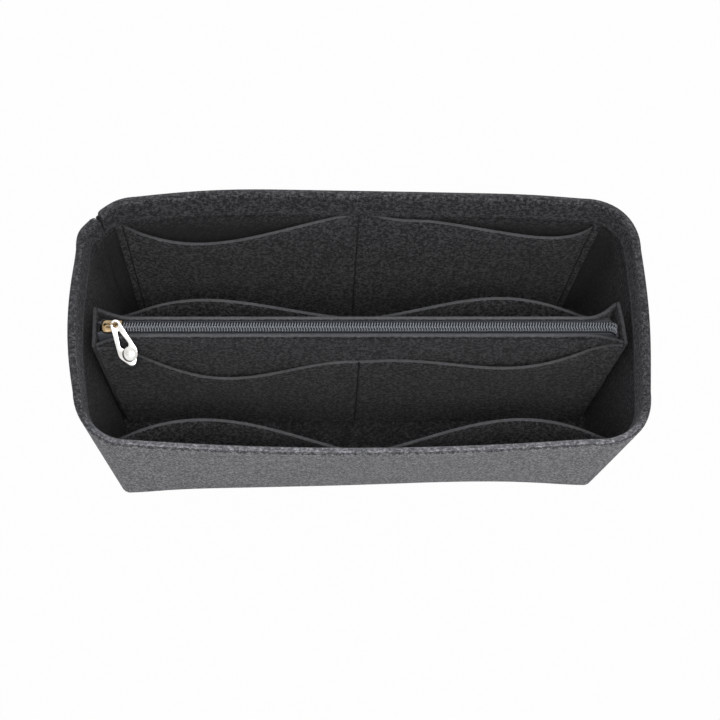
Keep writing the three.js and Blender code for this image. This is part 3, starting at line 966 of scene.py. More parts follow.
    def stations(self) -> list[Post]:
        """Return the stations round the strip, each with the drop of the rim there."""
        left_end = self.seam_turn
        left_start = left_end + self.left_notch / self.rim_corner
        found = [
            self.notch_station(share, left_end, self.left_notch, self.left_end_step, 1)
            for share in NOTCH_SHARES
        ]
        for turn in spaced(left_start, math.pi / 2, self.seam_grid)[1:-1]:
            step = self.left_end_step * (1 - smooth_step(turn, left_start, left_end + self.left_step_run))
            found.append((self.corner_station(Side.BACK, turn, step), 0.0))
        for side in Side:
            length = self.rim_depth if side.is_end else self.rim_length
            for share in spaced(-1.0, 1.0, 2 * self.grid / (length - 2 * self.rim_corner)):
                found.append((self.side_station(side, share), 0.0))
            if side is not Side.BACK:
                for turn in spaced(0.0, math.pi / 2, self.corner_grid)[1:-1]:
                    found.append((self.corner_station(side, turn), 0.0))
        back_end = self.seam_turn - self.seam_slit / self.rim_corner
        back_start = back_end - self.back_notch / self.rim_corner
        for turn in spaced(0.0, back_start, self.seam_grid)[1:-1]:
            step = self.back_end_step * smooth_step(turn, self.step_turn, back_start)
            found.append((self.corner_station(Side.BACK, turn, step), 0.0))
        for share in reversed(NOTCH_SHARES):
            found.append(self.notch_station(share, back_end, self.back_notch, self.back_end_step, -1))
        return found

    def fold_point(self, radius: float, angle: float, drop: float) -> Span:
        """Return the inset and height on the rim's fold at an angle up from the outside."""
        fold_z = self.height - drop - self.face_radius
        return self.face_radius - radius * math.cos(angle), fold_z + radius * math.sin(angle)

    def profile(self, drop: float) -> list[tuple[Span, Span]]:
        """Return the strip's cross-section as pairs of inset and height for its face and its back."""
        fold_z = self.height - drop - self.face_radius
        stitch_z = self.hem_stitch
        land = self.hem_stitch_land
        near = self.hem_stitch_step
        near_stitch = [stitch_z - land, stitch_z - near, stitch_z, stitch_z + near]
        below = merged_places(spaced(0.0, stitch_z - land, self.grid), near_stitch)
        shares = spaced(0.0, 1.0, 1 / self.hem_rows)[:-1]
        above = [lerp(stitch_z + land, fold_z, share) for share in shares]
        pairs = []
        for z in below + above:
            sunk = self.groove * dent(z - stitch_z, self.hem_groove_reach) * self.hem_groove
            pairs.append(((sunk, z), (self.felt, z)))
        for angle in spaced(0.0, math.pi, self.fold_grid):
            sunk = self.groove * dent(angle - self.topstitch_turn, self.topstitch_reach)
            face = self.fold_point(self.face_radius - sunk, angle, drop)
            pairs.append((face, self.fold_point(self.hem_gap / 2, angle, drop)))
        for share in spaced(0.0, 1.0, self.grid / self.hem_depth)[1:]:
            inset = lerp(self.felt + self.hem_gap, self.felt + self.hem_gap + self.hem_stand, share)
            z = lerp(fold_z, self.hem_foot, share)
            pairs.append(((inset + self.felt, z), (inset, z)))
        return pairs

    def depth_at(self, x: float, z: float) -> float:
        """Return the depth of the back wall's inner face at a place along the length."""
        line = self.section(z)
        run = line.half_length - line.corner
        past = abs(x) - run
        if past < 0:
            return line.half_depth - self.felt + line.side_bow * (1 - (x / run) ** 2)
        return line.half_depth - line.corner + math.sqrt((line.corner - self.felt) ** 2 - past**2)

    def inner_painted_shade(self, z: float, rear: float) -> float:
        """Return the painted shade on the wall's inner face at a height, for a share of being the back wall:
        darkest low down and lighter towards the hem.
        """
        high = smooth_step(z, self.hem_foot - lerp(*self.shade_reach, rear), self.hem_foot)
        return -lerp(lerp(*self.low_shade, rear), self.high_shade, high)

    def build_strip(self, looks: Finishes) -> Thing:
        """Return the wall strip with its folded rim."""
        rows: Rows = []
        marks: dict[str, list[list[float]]] = {LIGHT_AND_WEAR: [], OUTSIDE: []}
        fold = self.height - 2 * self.felt
        pairs = self.profile(0.0)
        crest = [smooth_step(face[1], fold, self.height - self.crest_drop) for face, _ in pairs]
        inner = [smooth_step(face[0], self.inner_edge * self.felt, self.felt) for face, _ in pairs]
        outside = [1 - smooth_step(face[0], self.outside_edge, self.felt / 2) for face, _ in pairs]
        outside += [0.0] * len(pairs)
        for at, drop in self.stations():
            rows.append([(at(face[1], face[0]), at(back[1], back[0])) for face, back in self.profile(drop)])
            depth = at(self.height, 0.0).y / self.rim_depth
            front = smooth_step(-depth, *self.front_span)
            rear = smooth_step(depth, *self.rear_span)
            # Painted light on the crest, most on the front, partly as wear; painted shade on the hem below
            # it and on the wall's inner face behind.
            worn = [
                top * (self.crest_light_and_wear + self.front_painted_light * front * turned)
                - self.hem_painted_shade * (1 - top) * turned
                for top, turned in zip(crest, inner)
            ]
            marks[LIGHT_AND_WEAR].append(worn + [self.inner_painted_shade(back[1], rear) for _, back in reversed(pairs)])
            marks[OUTSIDE].append(outside)
        return sheet_object("wall_felt", rows, (looks.felt, looks.cut), self.edge, marks)

    def build_base(self, looks: Finishes) -> Thing:
        """Return the base panel that fills the strip's foot, sewn against it all round."""
        inset = self.felt - self.base_tuck
        half_depth = self.base_depth / 2 - inset
        corner = self.base_corner - inset
        half_length = self.base_length / 2 - inset
        run = half_length - corner
        ends = spaced(run, half_length, self.base_corner_grid)
        rows: Rows = []
        for x in merged_places([-end for end in ends], spaced(-run, run, self.base_grid), ends):
            past = max(abs(x) - run, 0.0)
            half = half_depth - corner + math.sqrt(max(corner**2 - past**2, 0.0))
            rows.append([
                (self.slumped(Vector((x, y, self.felt))), self.slumped(Vector((x, y, 0.0))))
                for y in spaced(-half, half, half / self.base_columns)
            ])
        return sheet_object("base_felt", rows, (looks.felt, looks.cut), self.edge)

    def seam_paths(self) -> list[Path]:
        """Return the upright path of the thread that closes the strip's two ends."""
        turn = self.seam_turn - self.seam_slit / self.rim_corner / 2
        at = self.corner_station(Side.BACK, turn, (self.left_end_step + self.back_end_step) / 2)
        heights = spaced(self.seam_foot, self.height - self.seam_head, self.seam_step)
        return [[at(z, self.felt / 2) for z in heights]]

    def rim_paths(self) -> list[Path]:
        """Return the path of the topstitch on the rim's outer shoulder."""
        inset, z = self.fold_point(self.face_radius - self.groove, self.topstitch_turn, 0.0)
        return [[at(z, inset) for at, drop in self.stations() if drop < self.topstitch_drop]]

    def hem_paths(self) -> list[Path]:
        """Return the paths of the hem's stitches, outside on the wall and inside on the hem."""
        foot_share = 1 - self.hem_stitch_rise / self.hem_depth
        inset = self.felt + self.hem_gap + self.hem_stand * foot_share + self.felt
        depths = (self.stitch_sink, inset)
        return [[at(self.hem_stitch, depth) for at, _ in self.stations()] for depth in depths]


# Zipped pouch and pockets


@dataclass
class ZipPouch:
    """The A-shaped felt envelope across the middle: two panels, two end gussets and a floor."""

    wall: OuterWall
    pushes: tuple[Push, ...] = POUCH_PUSHES
    y: float = 1.8
    top: float = 141.0
    base_width: float = 32.4
    end_width: float = 22.0
    end_gap: float = 1.4
    flare_run: float = 18.0
    flare_power: float = 1.6
    mouth_half: float = 5.7
    grid: float = 3.0
    flare_grid: float = 1.2
    gusset_grid: float = 0.14
    edge: float = 0.45
    zip_stitch_drop: float = 2.6
    zip_stitch_end: float = 2.0
    groove: float = 0.3
    groove_reach: float = 0.8
    groove_steps: tuple[float, ...] = (-0.9, -0.4, 0.0, 0.4, 0.9)
    stitch_sink: float = 0.15

    @property
    def gusset_outer(self) -> float:
        """Return how far out the end gussets reach."""
        return self.wall.base_length / 2 - self.wall.felt - self.end_gap

    @property
    def gusset_inner(self) -> float:
        """Return the place of the gussets' inner faces."""
        return self.gusset_outer - self.wall.felt

    @property
    def panel_end(self) -> float:
        """Return where the long panels end."""
        return self.gusset_inner - self.wall.sewn_gap

    @property
    def zip_stitch(self) -> float:
        """Return the height of the stitches that hold the tapes."""
        return self.top - self.zip_stitch_drop

    def half_width(self, x: float, z: float) -> float:
        """Return half of the pouch's width at a place along it and a height."""
        past = max(abs(x) - (self.gusset_inner - self.flare_run), 0.0) / self.flare_run
        top_half = lerp(self.mouth_half, self.end_width / 2, min(past, 1.0) ** self.flare_power)
        foot = self.wall.floor_top
        return lerp(self.base_width / 2, top_half, (z - foot) / (self.top - foot))

    def slumped(self, point: Vector) -> Vector:
        """Return a point moved as the soft pouch is, most at its mouth."""
        rise = (point.z / self.top) ** 2
        moved = point.copy()
        for push in self.pushes:
            moved += push.on(point, rise)
        return moved

    def skin(self, facing: Facing, x: float, z: float, inset: float) -> Vector:
        """Return a point on a long panel, inset from its outer face."""
        return self.slumped(Vector((x, self.y + facing.value * (self.half_width(x, z) - inset), z)))

    def build_panel(self, name: str, facing: Facing, looks: Finishes) -> Thing:
        """Return one long panel."""
        flare = self.gusset_inner - self.flare_run
        ends = spaced(flare, self.panel_end, self.flare_grid)
        stitch_z = self.zip_stitch
        near_stitch = [stitch_z + step for step in self.groove_steps]
        heights = merged_places(spaced(self.wall.floor_top, self.top, self.grid), near_stitch)
        rows: Rows = []
        for x in merged_places([-end for end in ends], spaced(-flare, flare, self.grid), ends):
            row: list[Pair] = []
            for z in heights:
                sunk = self.groove * dent(z - stitch_z, self.groove_reach)
                row.append((self.skin(facing, x, z, sunk), self.skin(facing, x, z, self.wall.felt)))
            rows.append(row)
        return sheet_object(name, rows, (looks.felt, looks.cut), self.edge)

    def build_gusset(self, name: str, side: Side, looks: Finishes) -> Thing:
        """Return the gusset at one end."""
        faces = [side.value[0] * x for x in (self.gusset_outer, self.gusset_inner)]
        rows: Rows = []
        for share in spaced(-1.0, 1.0, self.gusset_grid):
            row: list[Pair] = []
            for z in spaced(self.wall.floor_top, self.top, self.grid):
                y = self.y + share * self.half_width(self.gusset_inner, z)
                row.append(tuple(self.slumped(Vector((x, y, z))) for x in faces))
            rows.append(row)
        return sheet_object(name, rows, (looks.felt, looks.cut), self.edge)

    def build_floor(self, looks: Finishes) -> Thing:
        """Return the pouch's floor."""
        low = self.wall.floor_top
        high = low + self.wall.felt
        half = self.half_width(0.0, high) - self.wall.felt - self.wall.sewn_gap
        across = spaced(-half, half, self.grid)
        rows: Rows = [
            [(Vector((x, self.y + y, high)), Vector((x, self.y + y, low))) for y in across]
            for x in spaced(-self.panel_end, self.panel_end, self.grid)
        ]
        return sheet_object("pouch_floor_felt", rows, (looks.felt, looks.cut), self.edge)

    def zip_paths(self) -> list[Path]:
        """Return the stitch paths that hold the zip's tapes to the two panels."""
        end = self.panel_end - self.zip_stitch_end
        return [
            [self.skin(facing, x, self.zip_stitch, self.stitch_sink) for x in spaced(-end, end, self.grid)]
            for facing in Facing
        ]


@dataclass
class PocketPanel:
    """A two-lobed felt pocket panel, sewn at its ends, its middle and its foot.

    Pairs are for the left lobe and the right one. A panel with a pouch is sewn to it, and into its
    end seams. One without is sewn to the wall.
    """

    node: str
    facing: Facing
    wall: OuterWall
    pouch: Optional[ZipPouch]
    length: float
    end_top: float
    middle_top: float
    dip: Span
    low: Span
    gape: Span
    fullness: Span
    shoulder: Span = (0.0, 0.0)
    shoulder_share: float = 0.17
    shoulder_reach: float = 0.1
    grid: float = 2.6
    groove: float = 1.0
    groove_reach: float = 1.1
    groove_steps: tuple[float, ...] = (-1.5, -0.8, -0.35, 0.0, 0.35, 0.8, 1.5)
    panel_rises: int = 44
    stitch_rises: int = 40
    stitch_depth: float = 0.6
    stitch_top: float = 0.985
    edge: float = 0.45
    end_stitch: float = 3.6

    def carrier_depth(self, x: float, z: float) -> float:
        """Return the depth of the face that the panel is sewn to."""
        if self.pouch:
            return self.pouch.y + self.facing.value * self.pouch.half_width(x, z)
        return -self.facing.value * self.wall.depth_at(x, z)

    def slack(self, share: float, lobe: int) -> float:
        """Return a lobe's slack at a share of the way from its middle seam to its end seam."""
        turn = math.pi * share ** (math.log(0.5) / math.log(self.low[lobe]))
        return max(math.sin(turn), 0.0) ** self.fullness[lobe]

    def point(self, x: float, rise: float, out: float) -> Vector:
        """Return a point of the panel.

        Args:
            x: Place along the panel.
            rise: Share of the way up from the foot to the mouth.
            out: Distance out from the panel's hidden skin.

        Returns:
            The point in millimetres.
        """
        lobe_end = self.length / 2 - (0.0 if self.pouch else self.end_stitch)
        share = min(abs(x) / lobe_end, 1.0)
        lobe = 0 if x < 0 else 1
        slack = self.slack(share, lobe)
        sag = math.exp(-(((share - self.shoulder_share) / self.shoulder_reach) ** 2))
        top = lerp(self.middle_top, self.end_top, share) - self.dip[lobe] * slack - self.shoulder[lobe] * sag
        z = lerp(self.wall.floor_top, top, rise)
        stand = self.wall.sewn_gap + self.gape[lobe] * slack * rise**2 + out
        place = Vector((x, self.carrier_depth(x, z) + self.facing.value * stand, z))
        return (self.pouch or self.wall).slumped(place)

    def build(self, looks: Finishes) -> Thing:
        """Return the panel with its sewn grooves."""
        half = self.length / 2
        seams = self.seams()
        close = [seam + step for seam in seams for step in self.groove_steps]
        rises = spaced(0.0, 1.0, 1 / self.panel_rises)
        rows: Rows = []
        for x in merged_places(spaced(-half, half, self.grid), close):
            out = self.wall.felt - self.groove * max(dent(x - seam, self.groove_reach) for seam in seams)
            rows.append([(self.point(x, rise, out), self.point(x, rise, 0.0)) for rise in rises])
        return sheet_object(f"{self.node}_felt", rows, (looks.felt, looks.cut), self.edge)

    def seams(self) -> list[float]:
        """Return the places of the upright seams."""
        end = self.length / 2 - self.end_stitch
        return [0.0] if self.pouch else [0.0, end, -end]

    def seam_paths(self) -> list[Path]:
        """Return the upright stitch paths of the seams."""
        out = self.wall.felt - self.groove * self.stitch_depth
        rises = spaced(0.0, self.stitch_top, 1 / self.stitch_rises)
        return [[self.point(x, rise, out) for rise in rises] for x in self.seams()]

    def flat_size(self) -> Span:
        """Return the size of the rectangle that the panel is cut from, in metres."""
        tallest = max(self.end_top, self.middle_top) - self.wall.floor_top
        return self.length * MM, tallest * MM


def pockets_of(wall: OuterWall, pouch: ZipPouch) -> list[PocketPanel]:
    """Return the four pocket panels, two on the long walls and two on the pouch."""
    end_top = 134.0
    gap = 0.4
    long = 2 * (pouch.panel_end - gap)
    lowered = pouch.top - 35
    return [
        PocketPanel(
            "back_pocket", Facing.FRONT, wall, None, 263.2, end_top, wall.hem_foot - gap,
            dip=(21.6, 12.5), low=(0.64, 0.79), gape=(5.6, 4.6), fullness=(0.78, 0.52), shoulder=(0.0, 3.6),
        ),
        PocketPanel(
            "front_pocket", Facing.REAR, wall, None, 273.2, end_top, end_top,
            dip=(28, 28), low=(0.62, 0.64), gape=(22.3, 20.8), fullness=(0.71, 0.73),
        ),
        PocketPanel(
            "pouch_front_pocket", Facing.FRONT, wall, pouch, long, pouch.top - 0.6, lowered,
            dip=(32.8, 18.7), low=(0.57, 0.64), gape=(4.4, 4.4), fullness=(1.34, 1.3),
        ),
        PocketPanel(
            "pouch_rear_pocket", Facing.REAR, wall, pouch, long, lowered, pouch.top - 12.3,
            dip=(9, 9), low=(0.65, 0.6), gape=(16.9, 17.6), fullness=(0.8, 0.97),
        ),
    ]


# Zip


@dataclass
class Zip:
    """Coil chain, tapes and bar tacks of the pouch's zip."""

    pouch: ZipPouch
    chain_width: float = 4.8
    chain_height: float = 2.0
    chain_proud: float = 0.4
    chain_half_length: float = 129.85
    coil_width: float = 5.2
    coil_pitch: float = 1.447
    coil_lean: float = -0.75
    coil_wire: float = 0.54
    coil_start: float = 0.5
    coil_skin: float = 0.02
    tooth_reach: float = 0.8
    head_share: float = 0.45
    cord: float = 0.9
    cord_start: float = 0.6
    cord_lines: tuple[Span, ...] = ((0.24, 0.0), (0.51, -0.5))
    cord_stitch: float = 1.6
    cord_pitch: float = 0.9
    end_bend: float = 5.0
    end_turn: float = math.radians(62)
    end_grid: float = math.radians(8)
    end_sway: float = 1.2
    tape: float = 0.5
    tape_leg: float = 9.0
    tape_split: float = 0.4
    tape_end: float = 138.5
    tape_end_dip: float = 6.0
    tape_edge: float = 0.12
    tape_bend: float = 0.2
    tape_grid: float = 1.2
    flat_shares: tuple[float, ...] = (0.0, 0.5, 1.0)
    hollow_shares: tuple[float, ...] = (0.33, 0.66)
    leg_shares: tuple[float, ...] = (0.2, 0.5, 0.8, 1.0)
    hollow_power: float = 0.7
    hollow_slope: float = 2.8
    hollow_foot: float = 0.6
    post_x: float = -133.7
    post_length: float = 4.0
    post_width: float = 2.5
    tack: float = 1.3
    tack_thread: float = 0.3
    tack_rows: tuple[Span, ...] = ((-0.25, 0.0), (0.05, 0.1))
    tack_swell: float = 0.03
    tack_dive: float = 0.2
    tack_closeness: float = 0.9
    tack_unevenness: float = 0.08
    tack_seed: int = 5

    @property
    def chain_top(self) -> float:
        """Return the height of the chain's top."""
        return self.pouch.top + self.chain_proud

    @property
    def chain_foot(self) -> float:
        """Return the height of the chain's underside."""
        return self.chain_top - self.chain_height

    @property
    def tape_top(self) -> float:
        """Return the height of the tapes' upper faces."""
        return self.chain_foot - self.pouch.wall.sewn_gap

    def turn_mesh(self, facing: Facing) -> Mesh:
        """Return one turn of a coil: over the top to its head, and back underneath."""
        radius = self.coil_wire / 2
        root = self.coil_width / 2 - radius - self.coil_skin
        head = self.head_share * self.tooth_reach
        high = self.chain_height / 2 - radius - self.coil_skin
        lean = self.coil_lean
        path = [
            (-0.32, root * 0.86, -high),
            (-0.25, root, -high * 0.4),
            (-0.16, root * 0.97, high * 0.55),
            (-0.06, root * 0.8, high),
            (lean * 0.6, root * 0.3, high),
            (lean * 0.9, -head * 0.7, high * 0.7),
            (lean, -head, 0.0),
            (lean * 0.95, -head * 0.7, -high * 0.7),
            (lean * 0.5, root * 0.3, -high),
            (self.coil_pitch - 0.32, root * 0.8, -high),
        ]
        turned = [Vector((x, facing.value * y, z)) for x, y, z in path]
        return tube_mesh("coil_turn", turned, radius, WIRE_SIDES)

    def chain_path(self, start: float, y: float, rise: float = 0.0) -> Path:
        """Return the chain's path, straight and then bent down into the pouch at its closed end.

        Args:
            start: Distance from the chain's open end.
            y: Distance to the side of the zip's middle.
            rise: Height above the middle of the chain.

        Returns:
            Points in millimetres.
        """
        z = self.chain_foot + self.chain_height / 2
        bend_x = self.chain_half_length + self.tack + 2 * self.pouch.wall.sewn_gap
        radius = self.end_bend + rise
        path = [Vector((start - self.chain_half_length, self.pouch.y + y, z + rise))]
        for turn in spaced(0.0, self.end_turn, self.end_grid):
            fall = 1 - math.cos(turn)
            side = self.pouch.y + y - self.end_sway * fall
            path.append(Vector((bend_x + radius * math.sin(turn), side, z + rise - radius * fall)))
        return path

    def build_coil(self, facing: Facing, tree: RepeatTree, looks: Finishes) -> Thing:
        """Return one half of the chain as its row of coil turns, the rear one set on by half a pitch."""
        start = self.coil_start
        if facing is Facing.REAR:
            start += self.coil_pitch / 2
        name = f"zip_coil_{facing.name.lower()}_turns"
        paths = [self.chain_path(start, 0.0)]
        return tree.run(name, paths, self.turn_mesh(facing), self.coil_pitch, looks.coil)

    def build_cord(self, tree: RepeatTree, looks: Finishes) -> Thing:
        """Return the filler cords inside the coils and the thread along their roots."""
        paths = [
            self.chain_path(self.cord_start, facing.value * self.coil_width * share, rise)
            for facing in Facing for share, rise in self.cord_lines
        ]
        shape = stitch_mesh(self.cord_stitch, self.cord / 2)
        # The near black cord and root thread paint the shade between the coil's turns and along its roots,
        # besides their own dark colour.
        return tree.run("zip_coil_cord", paths, shape, self.cord_pitch, looks.coil_thread)

    def tape_outline(self, x: float) -> list[tuple[Span, Span]]:
        """Return the tape's cross-section as pairs of distance from the zip's middle and height."""
        wall = self.pouch.wall
        thick = self.tape
        parted = smooth_step(-x, self.chain_half_length, -self.post_x - self.post_length / 2)
        inner = lerp(self.tape_split / 2, self.post_width / 2 + 2 * wall.sewn_gap, parted)
        dip_start = self.chain_half_length + self.tack + wall.sewn_gap
        top = self.tape_top - self.tape_end_dip * smooth_step(x, dip_start, self.tape_end)

        def leg(z: float, inset: float = 0.0) -> float:
            """Return the tape's distance from the zip's middle along the felt."""
            return self.pouch.half_width(x, z) - wall.felt - wall.sewn_gap - inset

        sunk = top - self.hollow_slope * (self.pouch.half_width(x, top) - self.pouch.half_width(0.0, top))
        bend = leg(sunk)
        flat = min(leg(top), self.pouch.mouth_half - wall.felt - wall.sewn_gap) - self.tape_bend
        outline = []
        for share in self.flat_shares:
            y = lerp(inner, flat, share)
            outline.append(((y, top), (y, top - thick)))
        for share in self.hollow_shares:
            y = lerp(flat, bend, share)
            z = lerp(top, sunk, share**self.hollow_power)
            outline.append(((y, z), (y - thick / 2, z - thick)))
        outline.append(((bend, sunk), (leg(sunk - thick, thick), sunk - thick)))
        foot = self.tape_top - self.tape_leg - self.hollow_foot * (top - sunk)
        for share in self.leg_shares:
            z = lerp(sunk - thick, foot, share)
            outline.append(((leg(z), z), (leg(z, thick), z)))
        return outline

    def build_tape(self, facing: Facing, looks: Finishes) -> Thing:
        """Return one tape: flat under the chain, then turned down along the felt."""
        rows: Rows = []
        for x in spaced(-self.tape_end, self.tape_end, self.tape_grid):
            rows.append([
                tuple(self.pouch.slumped(Vector((x, self.pouch.y + facing.value * y, z))) for y, z in pair)
                for pair in self.tape_outline(x)
            ])
        name = f"zip_tape_{facing.name.lower()}_weave"
        return sheet_object(name, rows, (looks.tape, looks.tape), self.tape_edge)

    def build_tack(self, name: str, x: float, half_span: float, tree: RepeatTree, looks: Finishes) -> Thing:
        """Return a bar of close stitches across both tapes."""
        z = self.chain_foot + self.tack / 2
        rows = []
        for rise, shorter in self.tack_rows:
            half = self.tack / 2 - self.tack_thread / 2 - shorter
            rows.append([Vector((x + step, self.pouch.y, z + rise)) for step in (-half, half)])
        shape = stitch_mesh(2 * half_span, self.tack_thread / 2 + self.tack_swell, self.tack_dive)
        pitch = self.tack_thread * self.tack_closeness
        return tree.run(name, rows, shape, pitch, looks.thread, turn=math.pi / 2,
                        unevenness=self.tack_unevenness, seed=self.tack_seed)


@dataclass
class ZipPull:
    """The teardrop pull that hangs by its eye on the slider's bail."""

    eye: Triple = (-128.55, 1.8, 144.443)
    plate: float = 1.2
    eye_hole: float = 2.8
    outline: tuple[Span, ...] = ((0.0, 2.75), (15.6, 5.2), (20.8, 2.5))
    slot: tuple[Span, ...] = ((4.2, 0.5), (11.4, 2.15))
    boss_place: Span = (0.6, -17.2)
    boss: float = 8.6
    boss_rise: float = 0.9
    boss_steps: int = 24
    boss_sides: int = 56
    droop: float = math.radians(18)
    rest_turn: float = math.radians(24)
    rounding: float = 0.28
    arc_steps: int = 28

    def arc(self, centre: float, radius: float, start: float, end: float) -> Path:
        """Return points on an arc about a place down the pull's length."""
        turns = [lerp(start, end, step / self.arc_steps) for step in range(self.arc_steps + 1)]
        return [Vector((radius * math.cos(turn), radius * math.sin(turn) - centre, 0)) for turn in turns]

    def hull(self, circles: tuple[Span, ...]) -> Path:
        """Return the outline drawn tightly round circles, each a place down the pull and a radius."""
        leans = [math.pi / 2]
        for (near, near_radius), (far, far_radius) in zip(circles, circles[1:]):
            leans.append(math.asin((far_radius - near_radius) / (far - near)))
        leans.append(-math.pi / 2)
        left: Path = []
        right: Path = []
        for (place, radius), before, after in zip(circles, leans, leans[1:]):
            left += self.arc(place, radius, math.pi - before, math.pi - after)
            right = self.arc(place, radius, after, before) + right
        return left[:-1] + right[:-1]

    def boss_mesh(self) -> Mesh:
        """Return the lens-shaped boss at the pull's wide end."""
        rise = self.plate / 2 + self.boss_rise
        sides = self.boss_sides
        middle = Vector((*self.boss_place, 0.0))
        points = [(middle - Vector((0.0, 0.0, rise))) * MM]
        for step in range(1, self.boss_steps):
            turn = math.pi * (step / self.boss_steps - 0.5)
            radius = self.boss / 2 * math.cos(turn)
            for side in range(sides):
                angle = 2 * math.pi * side / sides
                ring = Vector((radius * math.cos(angle), radius * math.sin(angle), rise * math.sin(turn)))
                points.append((middle + ring) * MM)
        top = len(points)
        points.append((middle + Vector((0.0, 0.0, rise))) * MM)
        faces: list[tuple[int, ...]] = []
        for side in range(sides):
            after = (side + 1) % sides
            faces.append((0, 1 + after, 1 + side))
            for start in range(1, top - sides, sides):
                faces.append((start + side, start + after, start + after + sides, start + side + sides))
            faces.append((top - sides + side, top - sides + after, top))
        mesh = new_mesh("pull_boss", points, [], faces)
        face_outwards(mesh)
        return mesh

    def build(self, looks: Finishes) -> Thing:
        """Return the pull, turned to its place on the bail."""
        hole = self.arc(0.0, self.eye_hole / 2, 0.0, 2 * math.pi)[:-1]
        outlines = [self.hull(self.outline), hole, self.hull(self.slot)]
        mesh = joined("pull_metal", [flat_plate(outlines, self.plate, self.rounding), self.boss_mesh()])
        tilt = Matrix.Rotation(self.droop, 4, "X") @ Matrix.Rotation(self.rest_turn, 4, "Z")
        mesh.transform(Matrix.Translation(Vector(self.eye) * MM) @ tilt)
        mesh.materials.append(looks.pull)
        shade_smooth(mesh)
        return new_object("pull_metal", mesh)


@dataclass
class ZipSlider:
    """The cast slider: its node's own body with a domed upper plate and a bail of round wire."""

    nose: Span = (-136.5, 1.8)
    length: float = 11.0
    shoulder: float = 2.8
    nose_half: float = 3.42
    tail_half: float = 3.22
    plate_edge: float = 141.95
    plate_top: float = 142.7
    foot: float = 130.0
    bail: tuple[Span, ...] = ((2.15, -0.6), (2.15, 1.4), (2.6, 2.7), (3.6, 3.35), (5.2, 3.4), (6.8, 3.4),
                              (7.7, 3.05), (7.95, 2.2), (7.95, -0.6))
    bail_wire: float = 1.05
    bail_sides: int = 12
    nose_start: float = 0.01
    nose_grid: float = 0.2
    tail_grid: float = 0.5
    dome_steps: int = 14
    weld: float = 1e-6
    trim_margin: float = 0.02
    sharp_edge: float = math.radians(38)

    def half_width(self, x: float) -> float:
        """Return half of the plate's width at a distance from the nose."""
        if x < self.shoulder:
            return self.nose_half * (1 - (1 - math.sqrt(x / self.shoulder)) ** 2)
        return lerp(self.nose_half, self.tail_half, (x - self.shoulder) / (self.length - self.shoulder))

    def dome(self) -> Thing:
        """Return a block with a domed top that trims the node's flat plate."""
        front = spaced(self.nose_start, self.shoulder, self.nose_grid)
        tail = spaced(self.shoulder, self.length + self.trim_margin, self.tail_grid)
        rows: Rows = []
        for x in merged_places(front, tail):
            short = max(self.shoulder - x, 0.0) / self.shoulder
            crest = (self.plate_top - self.plate_edge) * math.sqrt(max(1 - short**2, 0.0))
            row: list[Pair] = []
            for turn in spaced(0.0, math.pi, math.pi / self.dome_steps):
                y = self.nose[1] - self.half_width(x) * math.cos(turn)
                top = Vector((self.nose[0] + x, y, self.plate_edge + crest * math.sin(turn)))
                row.append((top, Vector((top.x, y, self.foot))))
            rows.append(row)
        mesh, _ = sheet_mesh("slider_dome", rows)
        face_outwards(mesh)
        return new_object("slider_dome", mesh)

    def build(self, looks: Finishes) -> Thing:
        """Return the slider."""
        dome = self.dome()
        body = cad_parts["zip_slider"].data.copy()
        face_outwards(body, self.weld)
        holder = new_object("slider_body", body)
        trim = holder.modifiers.new("trim", "BOOLEAN")
        trim.operation = "INTERSECT"
        trim.solver = "EXACT"
        trim.object = dome
        trimmed = baked("slider_body", holder)
        bpy.data.objects.remove(dome)
        wire = [Vector((self.nose[0] + x, self.nose[1], self.plate_top + z)) for x, z in self.bail]
        bail = tube_mesh("bail", wire, self.bail_wire / 2, self.bail_sides)
        mesh = joined("slider_metal", [trimmed, bail])
        mesh.materials.clear()
        mesh.materials.append(looks.slider)
        shade_smooth(mesh)
        mesh.set_sharp_from_angle(angle=self.sharp_edge)
        return new_object("slider_metal", mesh)


# Stage


@dataclass(frozen=True)
class Lamp:
    """A soft rectangular lamp, in metres and watts."""

    name: str
    place: Triple
    aim: Triple
    size: Span
    power: float

    def hang(self) -> None:
        """Add the lamp to the scene, facing its aim."""
        data = bpy.data.lights.new(self.name, "AREA")
        data.shape = "RECTANGLE"
        data.size, data.size_y = self.size
        data.energy = self.power
        lamp = new_object(self.name, data)
        lamp.location = self.place
        lamp.rotation_euler = (Vector(self.aim) - Vector(self.place)).to_track_quat("-Z", "Y").to_euler()


